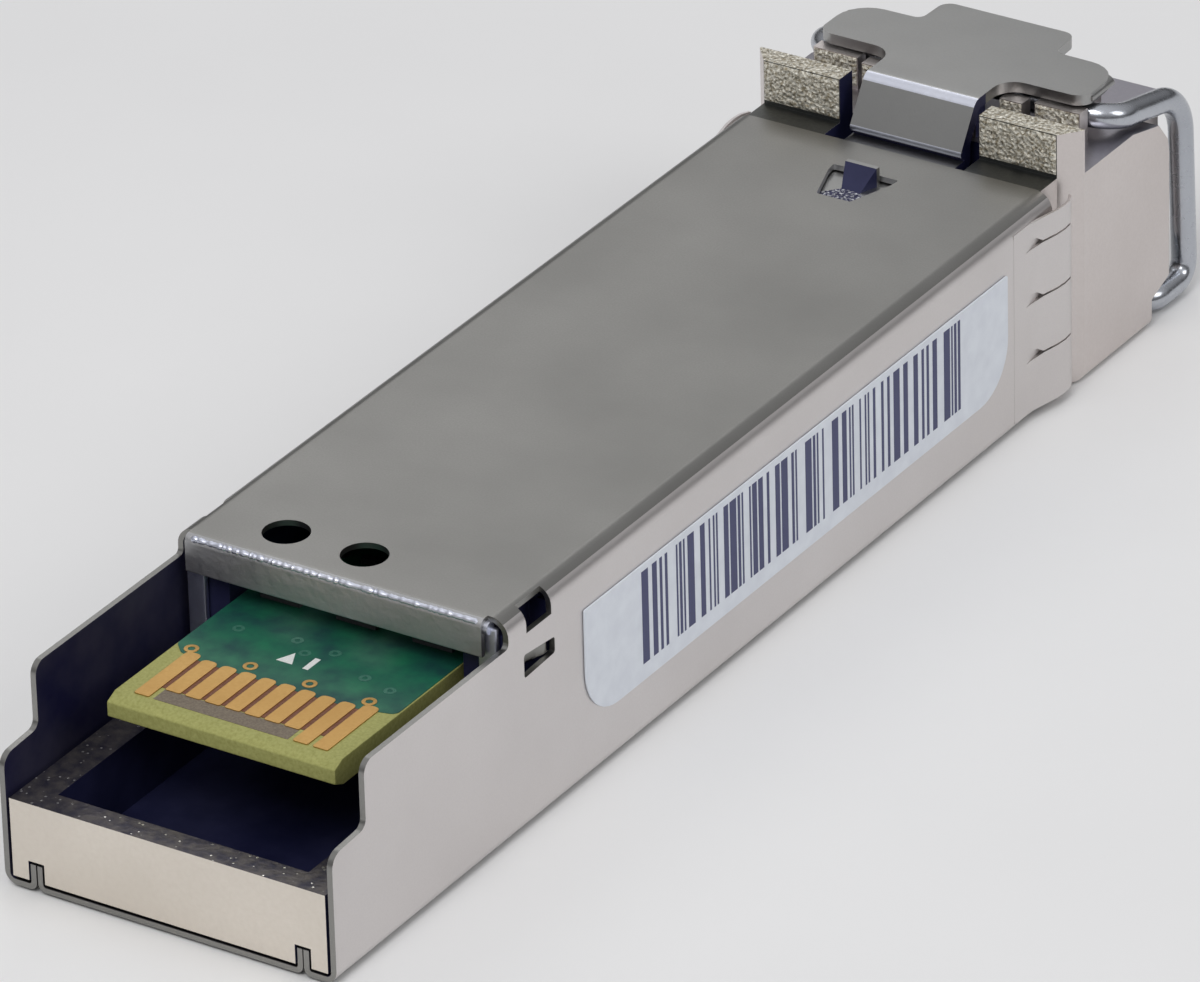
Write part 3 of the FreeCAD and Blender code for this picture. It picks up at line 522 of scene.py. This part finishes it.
def wall_cut_outline():
    """What is cut from the side walls beside the card edge, seen from the side."""
    over = TOP + 2
    front = OPENING + 0.45
    return rounded([
        (REAR - 1, over), (REAR - 1, STEP_TOP - 1), (REAR, STEP_TOP - 1), (REAR, STEP_TOP, 0.55),
        (TALL_REAR, STEP_TOP + 0.12, 0.35), (TALL_REAR, WALL_TOP, 0.5), (front, WALL_TOP, 0.2), (front, over),
    ])


def flange_outline():
    """Side view of the upper wall's rear edge, bent down."""
    inner = OPENING + SHEET
    return rounded([
        (OPENING + 0.7, TOP), (OPENING, TOP, 0.3), (OPENING, FLANGE_LOW, 0.06), (inner, FLANGE_LOW, 0.06),
        (inner, TOP - SHEET, 0.22), (OPENING + 0.7, TOP - SHEET),
    ], steps=8)


def shell_openings():
    """Cutting solids for the round holes, the corner holes, the side slots and the boss hole."""
    tools = [prism(f"round_hole_{k}", disc_outline(x, OPENING + 1.9, 0.85), "z", TOP - 1, TOP + 1)
             for k, x in enumerate((-3.19, 0))]
    rear, front = -33.25, -31.35
    for side in SIDES:
        reach = sorted((side * (HALF - 0.45), side * (HALF + 1)))
        tools.append(block("corner_hole", reach, (-33.05, -31.5), (7.5, TOP + 1)))
        slot = rounded([(rear, 5.85, 0.1), (front, 5.95, 0.1), (front, 6.55, 0.1), (rear, 6.75, 0.1)], 3)
        tools.append(prism("side_slot", slot, "x", *sorted((side * (HALF - 1), side * (HALF + 1)))))
    boss_gap = rounded([(-1.38, 0.15, 0.1), (-1.3, -0.35, 0.1), (-0.7, -2.15, 0.1),
                        (0.7, -2.15, 0.1), (1.3, -0.35, 0.1), (1.38, 0.15, 0.1)], 3)
    tools.append(prism("boss_gap", boss_gap, "z", TOP - 1, TOP + 1))
    return tools


def build_shell():
    """Folded shell with its openings; painted light on the side and flange faces, painted shade on the inner
    faces.
    """
    shell = prism("shell_body", shell_section(), "y", REAR, SHELL_FRONT)
    cut(shell, prism("wall_cut", wall_cut_outline(), "x", -HALF - 1, HALF + 1))
    join(shell, prism("flange", flange_outline(), "x", FLANGE_LEFT, FLANGE_RIGHT))
    cut(shell, *shell_openings())
    finish_piece(shell, "base", [SHELL_METAL, LIT_SIDE_METAL, INSIDE_SHADE, INNER_WALL_SHADE, LIT_FLANGE_METAL],
                 bevel=0.05, replaces=["shell"])
    # Painted light: the sides and the lower part of the bends take the brighter side copy.
    paint(shell, LIT_SIDE_METAL, lambda c, n: abs(c.x) > HALF - 0.2 and n.x * c.x > 0.6 * HALF)
    # Painted shade on the faces under the upper wall.
    paint(shell, INSIDE_SHADE, lambda c, n: n.z < -0.5 and c.z > SHEET and abs(c.x) < INNER)
    # Painted shade on the inner faces of the side walls.
    paint(shell, INNER_WALL_SHADE, lambda c, n: INNER - 0.4 < abs(c.x) < INNER + 0.02 and n.x * c.x < -0.5)
    # Painted light on the flange face.
    paint(shell, LIT_FLANGE_METAL, lambda c, n: c.y < OPENING + 0.45 and n.y < -0.1 and c.z > FLANGE_LOW
          and abs(c.x) < -FLANGE_LEFT)
    # Walls of the boss hole: painted highlight.
    paint(shell, LIT_FLANGE_METAL, lambda c, n: abs(c.x) < 1.45 and -2.3 < c.y < 0.3 and abs(n.z) < 0.9)


def build_flange_highlight():
    """Painted highlight along the flange's fold: an uneven bright ridge, ending in a bright bead at the right."""
    chance = random.Random(17)
    steps = 150
    start, end = -5.9, 5.75
    y, z = OPENING + 0.1, TOP - 0.13
    turns = [2 * math.pi * step / 10 for step in range(10)]
    bm = bmesh.new()
    rings = []
    for k in range(steps + 1):
        x = start + (end - start) * k / steps
        radius = 0.135 * chance.uniform(0.6, 1.0) if 0 < k < steps else 0.02
        rings.append([bm.verts.new((x, y + radius * math.sin(t), z + radius * math.cos(t))) for t in turns])
    bm.faces.new(rings[0])
    bm.faces.new(rings[-1])
    skin(bm, rings, closed=True)
    ridge = new_piece("flange_fold_highlight", bm)
    bead = tube("bead", [Vector((x, OPENING + 0.35, TOP - 0.4)) for x in (5.7, 5.9, 6.06)], 0.24, sides=14)
    finish_piece(merge(ridge, [bead]), "base", HIGHLIGHT_METAL, bevel=0)


def build_slot_tabs():
    """Tongues bent in from the side slots that hold the casting."""
    tabs = []
    for side in SIDES:
        outer, inner = side * (INNER - 0.02), side * (INNER - 0.5)
        outline = [(outer, -31.5), (outer, -31.7), (inner, -33.0), (inner + side * 0.12, -33.1)]
        tabs.append(prism(f"slot_tab_{side}", outline, "z", 5.98, 6.5))
    finish_piece(merge(tabs[0], tabs[1:]), "base", SHELL_METAL, bevel=0.03).name = "shell_tabs"


def build_floor_plate():
    """Shallow channel between the shell's lips, open upwards."""
    outer, inner = LIP - 0.04, LIP - 0.04 - LIP_SHEET
    corners = [(outer, 0, 0.3), (outer, LIP_TOP), (inner, LIP_TOP), (inner, SHEET, 0.1)]
    plate = prism("floor_sheet", rounded(both_sides(corners), 5), "y", REAR, SHELL_FRONT - 0.05)
    finish_piece(plate, "base", SHELL_METAL, bevel=0.03, replaces=["floor_plate"])


# ------------------------------------------------------------------ casting

def from_cad(node, name):
    """A millimetre copy of a CAD node's mesh with its flat faces joined up."""
    bm = bmesh.new()
    bm.from_mesh(frame["nodes"][node].data)
    bmesh.ops.transform(bm, matrix=Matrix.Scale(1 / MM, 4), verts=bm.verts)
    bmesh.ops.remove_doubles(bm, verts=bm.verts, dist=0.002)
    bmesh.ops.dissolve_limit(bm, angle_limit=math.radians(1), verts=bm.verts, edges=bm.edges)
    return new_piece(name, bm)


def build_casting():
    """The casting follows its CAD node; cut faces and the rear face have their own finishes, hidden and shaded
    faces get painted shade.
    """
    casting = from_cad("die_cast_base", "casting")
    coats = [CAST_METAL, SHADED_CAST_TOP, INSIDE_SHADE, END_METAL, SHADE_CAST, ROUGH_CAST, SHADED_LEDGE_CAST]
    finish_piece(casting, "base", coats, bevel=0.07, replaces=["die_cast_base"])
    # Painted shade on the rim of the tray, the tray itself and what lies under the shell; the rear face has its
    # own finish.
    paint(casting, SHADED_CAST_TOP, lambda c, n: c.y < OPENING + 1 and n.z > 0.5)
    paint(casting, INSIDE_SHADE, lambda c, n: c.y < TRAY_FRONT and (
        c.z < 1 and n.z > 0.5 or n.y > -0.5 and abs(n.z) < 0.5 or c.y > OPENING + 0.5))
    paint(casting, END_METAL, lambda c, n: c.y < REAR + 0.2 and n.y < -0.5)
    # Painted shade in the throat under the lever's tongue and in the gap in front of the shell; the stop blocks'
    # tops take the trimmed finish.
    paint(casting, INSIDE_SHADE, lambda c, n: 0 < c.y < 5.6 and abs(c.x) < 3 and c.z > 5
          and (abs(n.x) > 0.5 or c.z < SHELF - 0.1))
    paint(casting, SHADE_CAST, lambda c, n: 1.9 < c.y < NOSE_REAR + 0.1 and c.z > 8 and abs(n.x) < 0.3)
    paint(casting, ROUGH_CAST, lambda c, n: 3.1 < c.y < 4.2 and n.z > 0.5 and c.z > 10)
    # Painted shade on the nose's upper faces beside and in front of the latch.
    paint(casting, SHADED_LEDGE_CAST, lambda c, n: c.y > NOSE_REAR + 0.5 and n.z > 0.5 and 7 < c.z < SHELF + 0.05)


def build_rail_edges():
    """Upright edges of the casting's rails, just inside the side walls, painted light with the highlight finish.
    """
    for side, tag in zip(SIDES, ("left", "right")):
        reach = sorted((side * 5.55, side * 6.3))
        rail = block(f"casting_rail_{tag}", reach, (OPENING + 0.3, OPENING + 0.55), (END_WALL_TOP, TOP - 0.4))
        finish_piece(rail, "base", HIGHLIGHT_METAL, bevel=0.08)


def grid_border(columns, rows):
    """Row and column of each point around a grid, in order."""
    return ([(0, i) for i in range(columns)] + [(j, columns) for j in range(rows)]
            + [(rows, columns - i) for i in range(columns)] + [(rows - j, 0) for j in range(rows)])


def rough_patch(name, corner, across, up, inward, depth, seed):
    """A thin plate with a crumbled face, lying on the casting; depth is how far it stands out."""
    chance = random.Random(seed)
    cell = 0.13
    columns, rows = max(2, round(across.length / cell)), max(2, round(up.length / cell))
    bm = bmesh.new()
    layers = []
    for front in (True, False):
        grid = []
        for j in range(rows + 1):
            line = []
            for i in range(columns + 1):
                edge = i in (0, columns) or j in (0, rows)
                shift_a = 0 if edge else chance.uniform(-0.3, 0.3)
                shift_b = 0 if edge else chance.uniform(-0.3, 0.3)
                point = corner + across * (i + shift_a) / columns + up * (j + shift_b) / rows
                if front:
                    point = point - inward * depth * (0.25 if edge else chance.uniform(0.2, 1))
                else:
                    point = point + inward * 0.1
                line.append(bm.verts.new(point))
            grid.append(line)
        layers.append(grid)
    for grid in layers:
        skin(bm, grid, closed=False)
    near, far = layers
    border = grid_border(columns, rows)
    skin(bm, [[near[j][i] for j, i in border], [far[j][i] for j, i in border]], closed=True)
    return new_piece(name, bm)


def build_rough_faces():
    """Trimmed rear faces of the stop blocks, of the lugs and of the posts beside them."""
    patches = []
    low = SHELF + 0.15
    faces = [  # inner edge, width, rear face, lower edge, height, depth, seed
        (2.98, 3.19, NOSE_REAR, low, STOP_TOP - low - 0.04, 0.12, 3),
        (3.8, 1.8, 5.8, low, 1.13, 0.1, 7),
        (2.48, 0.89, 5.5, low, 1.13, 0.1, 11),
    ]
    for side in SIDES:
        for inner, width, y, z, height, depth, seed in faces:
            left = inner if side > 0 else -inner - width
            patches.append(rough_patch("rough_face", Vector((left, y, z)), Vector((width, 0, 0)),
                                       Vector((0, 0, height)), Vector((0, 1, 0)), depth, seed + side))
    rough = merge(patches[0], patches[1:])
    rough.name = "casting_trimmed"
    finish_piece(rough, "base", ROUGH_CAST, bevel=0)
    rough.data.set_sharp_from_angle(angle=math.radians(12))


# ------------------------------------------------------------------ EMI collar

def build_collar():
    """Spring fingers along both sides, flared and turned in at their tips."""
    thick = 0.12
    start = -0.75
    near = HALF + 0.01
    face = [(near - 0.12, start), (near - 0.11, 0.3), (near + 0.2, 1.8), (near + 0.24, 2.3),
            (near + 0.2, 2.75), (near + 0.02, 3.12)]
    back = [(x + thick, y) for x, y in reversed(face[1:])] + [(near + 0.002, start)]
    sides = []
    for side in SIDES:
        outline = [(side * x, y) for x, y in face + back]
        sheet = prism("fingers", outline, "z", 0.35, 8.0)
        tools = []
        for middle in (2.55, 4.85, 7.05):
            reach = sorted((side * (HALF - 1), side * (HALF + 2)))
            tools.append(block("slit", reach, (0.4, 4), (middle - 0.035, middle + 0.035)))
            dent = rounded([(0.1, middle - 0.14, 0.05), (1.15, middle - 0.03, 0.05),
                            (0.7, middle + 0.26, 0.1), (0.2, middle + 0.3, 0.1)], 4)
            tools.append(prism("dent", dent, "x", *reach))
        sides.append(cut(sheet, *tools))
    collar = merge(sides[0], sides[1:])
    collar.name = "collar_fingers"
    # The fingers take the lit side copy of the nickel: painted light.
    finish_piece(collar, "base", LIT_SIDE_METAL, bevel=0.02, replaces=["emi_collar"])


# ------------------------------------------------------------------ label

def build_label():
    """Paper label on the right side wall with a plain pattern of bars, no code or text."""
    face = LABEL_LOW.x
    rear, front, low, high = LABEL_LOW.y, LABEL_HIGH.y, 2.2, 6.7
    corners = [(rear, low, 2.0), (front, low, 2.0), (front, high, 0.1), (rear, high, 0.1)]
    paper = prism("label_sheet", rounded(corners, 10), "x", face, face + 0.07)
    finish_piece(paper, "base", PAPER, bevel=0.02, replaces=["side_label"])
    build_label_bars(face)


def build_label_bars(face):
    """Groups of four printed bars with random widths and gaps."""
    chance = random.Random(41)
    widths, gaps = (0.1, 0.16, 0.3, 0.42), (0.1, 0.1, 0.18, 0.26)
    bars = []
    place, end = -26.0, -4.4
    while place < end:
        for width in [chance.choice(widths) for k in range(4)]:
            if place + width > end:
                break
            bars.append(block("bar", (face + 0.03, face + 0.078), (place, place + width), (2.85, 6.45)))
            place += width + chance.choice(gaps)
        place += 0.3
    ink = merge(bars[0], bars[1:])
    ink.name = "label_bars"
    finish_piece(ink, "base", INK, bevel=0)


# ------------------------------------------------------------------ circuit board

PITCH = 0.8
PAD_COUNT = 10
PAD_HALF = 0.31
LONG_PADS = (0, 8, 9)


def build_board():
    """Circuit board: laminate with a chamfered card edge, solder mask, contacts and marks."""
    low, high = BOARD_LOW, BOARD_HIGH
    side = rounded([
        (low.y, low.z + 0.22), (low.y + 0.5, low.z), (high.y, low.z), (high.y, high.z),
        (low.y + 0.5, high.z), (low.y, high.z - 0.22),
    ])
    board = prism("board_laminate", side, "x", low.x, high.x)
    finish_piece(board, "base", LAMINATE, bevel=0.05, replaces=["circuit_board"])
    build_mask(high.z)
    build_contacts(high.z)
    build_bare_parts(high.z)
    build_board_marks(high.z + MASK_THICK)


def build_mask(face):
    """Solder mask; its rear edge bows back towards the contacts."""
    left, right = BOARD_LOW.x + 0.05, BOARD_HIGH.x - 0.05
    rear, front = BOARD_LOW.y + 3.45, BOARD_HIGH.y
    outline = rounded([
        (left, rear + 0.7, 0.3), (-4.1, rear + 0.25, 0.3), (-2.9, rear, 0.2), (2.9, rear - 0.05, 0.3),
        (right, rear + 0.35, 0.3), (right, front), (left, front),
    ], 4)
    mask = prism("board_mask", outline, "z", face, face + MASK_THICK)
    finish_piece(mask, "base", MASK, bevel=0)


def build_bare_parts(face):
    """Bare strip behind the short contacts and the reddish gaps between neighbours."""
    rear = BOARD_LOW.y
    bare = block("board_bare_strip", (pad_centre(1) - PAD_HALF, pad_centre(7) + PAD_HALF),
                 (rear + 0.62, rear + 1.35), (face, face + 0.012))
    finish_piece(bare, "base", BARE_STRIP, bevel=0)
    reach = PAD_HALF - 0.02
    gaps = [block("gap", (pad_centre(k) + reach, pad_centre(k + 1) - reach), (rear + 1.4, rear + 3.5),
                  (face, face + 0.015)) for k in range(PAD_COUNT - 1)]
    lines = merge(gaps[0], gaps[1:])
    lines.name = "board_trace_gaps"
    finish_piece(lines, "base", TRACE_GAP, bevel=0)


def build_board_marks(face):
    """Plain white marks and tinted vias on the solder mask."""
    bar = block("board_marks", (0.1, 0.32), (-36.8, -36.0), (face, face + 0.01))
    wedge = prism("wedge", [(-1.0, -36.75), (-0.35, -36.75), (-0.68, -36.05)], "z", face, face + 0.01)
    finish_piece(merge(bar, [wedge]), "base", SILK, bevel=0)
    places = [(-3.3, -35.6), (-1.1, -35.3), (-0.4, -35.9), (0.5, -35.4), (2.3, -36.3), (3.5, -36.6)]
    dots = [ring("dot", x, y, face, 0.22, 0.1, 0.012) for x, y in places]
    vias = merge(dots[0], dots[1:])
    vias.name = "board_vias"
    finish_piece(vias, "base", VIA_TINT, bevel=0)


def pad_centre(k):
    """X of a contact's middle."""
    return (k - (PAD_COUNT - 1) / 2) * PITCH


def ring(name, x, y, z, outer, inner, thick):
    """A flat ring with a hole."""
    plate = prism(name, disc_outline(x, y, outer, 24), "z", z, z + thick)
    return cut(plate, prism("hole", disc_outline(x, y, inner, 16), "z", z - 1, z + 1))


def build_contacts(face):
    """Gold contacts with the plated holes at their front ends."""
    pads = []
    for k in range(PAD_COUNT):
        rear = BOARD_LOW.y + (0.62 if k in LONG_PADS else 1.3)
        front = BOARD_LOW.y + (3.85 if k in (0, 9) else 3.65)
        x = pad_centre(k)
        outline = rounded([(x - PAD_HALF, rear, 0.08), (x + PAD_HALF, rear, 0.08),
                           (x + PAD_HALF, front, 0.2), (x - PAD_HALF, front, 0.2)], 4)
        pads.append(prism("pad", outline, "z", face, face + 0.045))
    for k in (0, 3, 6, 9):
        pads.append(ring("via", pad_centre(k) - 0.3, BOARD_LOW.y + 4.05, face, 0.27, 0.13, 0.04))
    gold = merge(pads[0], pads[1:])
    gold.name = "board_contacts"
    finish_piece(gold, "base", GOLD, bevel=0.012, replaces=["edge_contacts_upper"])


# ------------------------------------------------------------------ latch

def lever_plate():
    """Flat plate over the nose: two wings and the front tab."""
    reach = LEVER_HIGH.x - 0.1
    plan = [
        (TONGUE_HALF, 4.7), (TONGUE_HALF, 6.1, 0.85), (5.2, 6.12, 0.5), (reach, 6.4, 0.5),
        (reach, 8.8, 1.3), (2.85, 8.85, 0.35), (2.8, 10.5, 0.5),
    ]
    return prism("latch_plate", rounded(both_sides(plan)), "z", LEVER_HIGH.z - LEVER_SHEET, LEVER_HIGH.z)


def lever_tongue():
    """Tongue, neck and arm: the sheet slopes down, folds back and runs on under the shell."""
    top, rear = LEVER_HIGH.z, LEVER_LOW.y
    under, arm_under = top - LEVER_SHEET, ARM_TOP - LEVER_SHEET
    side = rounded([
        (5.0, top), (4.0, top, 0.5), (2.78, 8.42, 0.2), (3.15, 8.32, 0.08), (3.15, ARM_TOP, 0.03),
        (rear, ARM_TOP), (rear, arm_under), (3.57, arm_under, 0.3), (3.57, 8.65, 0.3),
        (4.25, under, 0.2), (5.0, under),
    ])
    tongue = prism("tongue", side, "x", -TONGUE_HALF, TONGUE_HALF)
    for edge in SIDES:
        cut(tongue, block("arm_trim", sorted((edge * 1.5, edge * 4)), (-5, 2.2), (5, 12)))
    return tongue


def lever_boss():
    """Latch boss with a sloping rear, narrower towards the rear."""
    boss = prism("boss", [(0, 8.1), (0, 8.95), (-0.2, 8.95), (-1.05, 8.1)], "x", -0.7, 0.7)
    for edge in SIDES:
        taper = [(edge * 0.66, 0.5), (edge * 0.66, -0.2), (edge * 0.3, -1.2),
                 (edge * 2, -1.2), (edge * 2, 0.5)]
        cut(boss, prism("boss_taper", taper, "z", 7.9, 9.5))
    return boss


def wing_curl(edge):
    """Rounded outer edge of a wing."""
    top, under = LEVER_HIGH.z, LEVER_HIGH.z - LEVER_SHEET + 0.02
    inner, outer = LEVER_HIGH.x - 0.9, LEVER_HIGH.x - 0.04
    curl = [(inner, top), (outer, top, 0.3), (outer, top - 0.3), (outer - 0.14, under), (inner, under)]
    return prism("wing_curl", rounded([(edge * c[0], *c[1:]) for c in curl]), "y", 6.6, 8.2)


def build_lever():
    """The lever is one piece of sheet; painted shade on its neck, painted highlights on its folds and painted
    shade with glints on its arm.
    """
    plate = lever_plate()
    join(plate, lever_tongue())
    join(plate, lever_boss())
    join(plate, *[wing_curl(edge) for edge in SIDES])
    finish_piece(plate, "lever", [LEVER_METAL, INSIDE_SHADE, HIGHLIGHT_METAL, ARM_SHADE_GLINT], bevel=0.06,
                 replaces=["latch_lever"])
    # Painted shade on the neck and the right edge of the tongue, painted dark reflection on the sloping rear of
    # the boss.
    paint(plate, INSIDE_SHADE, lambda c, n: 2.85 < c.y < 3.3 and c.z < 8.4)
    paint(plate, INSIDE_SHADE, lambda c, n: -1.1 < c.y < 0 and n.y < -0.3 and c.z > ARM_TOP)
    paint(plate, INSIDE_SHADE, lambda c, n: n.x > 0.55 and 2.9 < c.y < 4.75 and c.z > 8.4)
    # Painted highlights on the lower and upper folds, painted shade with painted glints on the arm.
    paint(plate, HIGHLIGHT_METAL, lambda c, n: 2 < c.y < 2.95 and 8.3 < c.z < 8.65)
    paint(plate, ARM_SHADE_GLINT, lambda c, n: c.y < 0.5 and n.z > 0.7 and c.z < ARM_TOP + 0.1)
    paint(plate, HIGHLIGHT_METAL, lambda c, n: 3.6 < c.y < 4.4 and c.z > 9.8 and -0.8 < n.y < -0.1)


def build_bail():
    """Half of the bent wire is laid out and mirrored; its two ends meet in the cranked middle."""
    y, z = BAIL_AXIS.y, BAIL_AXIS.z
    half, bar_z = BAIL_HALF, WIRE_RADIUS + 0.02
    bends = [
        (0.1, y + CRANK, z, 0), (2.5, y + CRANK, z, 0.5), (3.1, y, z, 0.5), (half, y, z, 1.1),
        (half, y + 5.0, z - 1.1, 2.0), (half, y + 5.4, bar_z, 0.75), (half, y + 2.8, bar_z, 0.75),
        (0, y + 2.8, bar_z, 0),
    ]
    corners = [(Vector(place), radius) for *place, radius in bends]
    run = curved_path(corners, steps=12)
    path = run + [Vector((-p.x, p.y, p.z)) for p in reversed(run[:-1])]
    wire = tube("bail_wire", path, WIRE_RADIUS, sides=28)
    finish_piece(wire, "bail_frame", WIRE_METAL, bevel=0, replaces=["bail"])


# ------------------------------------------------------------------ floor, light and camera

def build_stage():
    """Plain pale floor, soft light and the studio surroundings."""
    floor = bpy.data.meshes.new("floor")
    bm = bmesh.new()
    bmesh.ops.create_circle(bm, cap_ends=True, radius=1.2, segments=64)
    bmesh.ops.translate(bm, vec=(0, 0, -0.0001), verts=bm.verts)
    bm.to_mesh(floor)
    bm.free()
    ground = bpy.data.objects.new("floor", floor)
    bpy.context.scene.collection.objects.link(ground)
    ground.data.materials.append(plain_surface("floor_paint", (0.86, 0.86, 0.86), (0.83, 0.83, 0.83), 0.8,
                                               scale=0.05, depth=0.0))
    add_area("key_light", (0.10, -0.42, 0.55), 0.35, 1.6)
    add_area("fill_light", (0.50, 0.05, 0.40), 0.30, 0.7)
    add_area("back_light", (-0.35, 0.45, 0.50), 0.30, 0.3)
    build_world()


def add_area(name, place, size, power):
    """A round soft light aimed at the module; metres."""
    light = bpy.data.lights.new(name, "AREA")
    light.shape = "DISK"
    light.size = size
    light.energy = power
    lamp = bpy.data.objects.new(name, light)
    lamp.location = place
    aim = Vector((0, -0.02, 0.004)) - lamp.location
    lamp.rotation_mode = "QUATERNION"
    lamp.rotation_quaternion = aim.to_track_quat("-Z", "Y")
    bpy.context.scene.collection.objects.link(lamp)


def build_world():
    """Studio surroundings: dark at the horizon, grey walls, a bright ceiling."""
    world = bpy.data.worlds.new("studio")
    world.use_nodes = True
    tree = world.node_tree
    place = tree.nodes.new("ShaderNodeTexCoord")
    split = tree.nodes.new("ShaderNodeSeparateXYZ")
    ramp = tree.nodes.new("ShaderNodeValToRGB")
    tree.links.new(place.outputs["Generated"], split.inputs[0])
    tree.links.new(split.outputs["Z"], ramp.inputs[0])
    tree.links.new(ramp.outputs[0], tree.nodes["Background"].inputs[0])
    stops = [(0.0, 0.10), (0.12, 0.06), (0.35, 0.30), (0.6, 0.42), (1.0, 0.7)]
    ramp.color_ramp.elements[0].position, ramp.color_ramp.elements[1].position = 0.0, 1.0
    for position, grey in stops[1:-1]:
        ramp.color_ramp.elements.new(position)
    for element, (position, grey) in zip(ramp.color_ramp.elements, stops):
        element.position = position
        element.color = (grey, grey, grey * 1.02, 1)
    bpy.context.scene.world = world


def add_camera():
    """A long lens looking down at the rear right corner."""
    camera = bpy.data.cameras.new("camera")
    camera.sensor_width = 36
    camera.lens = 307.8
    camera.clip_start, camera.clip_end = 0.05, 10
    holder = bpy.data.objects.new("camera", camera)
    azimuth, elevation, roll = math.radians(33.13), math.radians(28.66), math.radians(-1.575)
    back = Vector((math.sin(azimuth) * math.cos(elevation), -math.cos(azimuth) * math.cos(elevation),
                   math.sin(elevation)))
    holder.rotation_mode = "QUATERNION"
    turn = (-back).to_track_quat("-Z", "Y")
    holder.rotation_quaternion = turn @ Matrix.Rotation(roll, 4, "Z").to_quaternion()
    holder.location = Vector((172.6, -282.5, 176.6)) * MM
    bpy.context.scene.collection.objects.link(holder)
    bpy.context.scene.camera = holder


finish_cad_nodes()
build_shell()
build_flange_highlight()
build_slot_tabs()
build_floor_plate()
build_casting()
build_rail_edges()
build_rough_faces()
build_collar()
build_label()
build_board()
build_lever()
build_bail()
build_stage()
add_camera()
bpy.context.scene.view_settings.view_transform = "Standard"
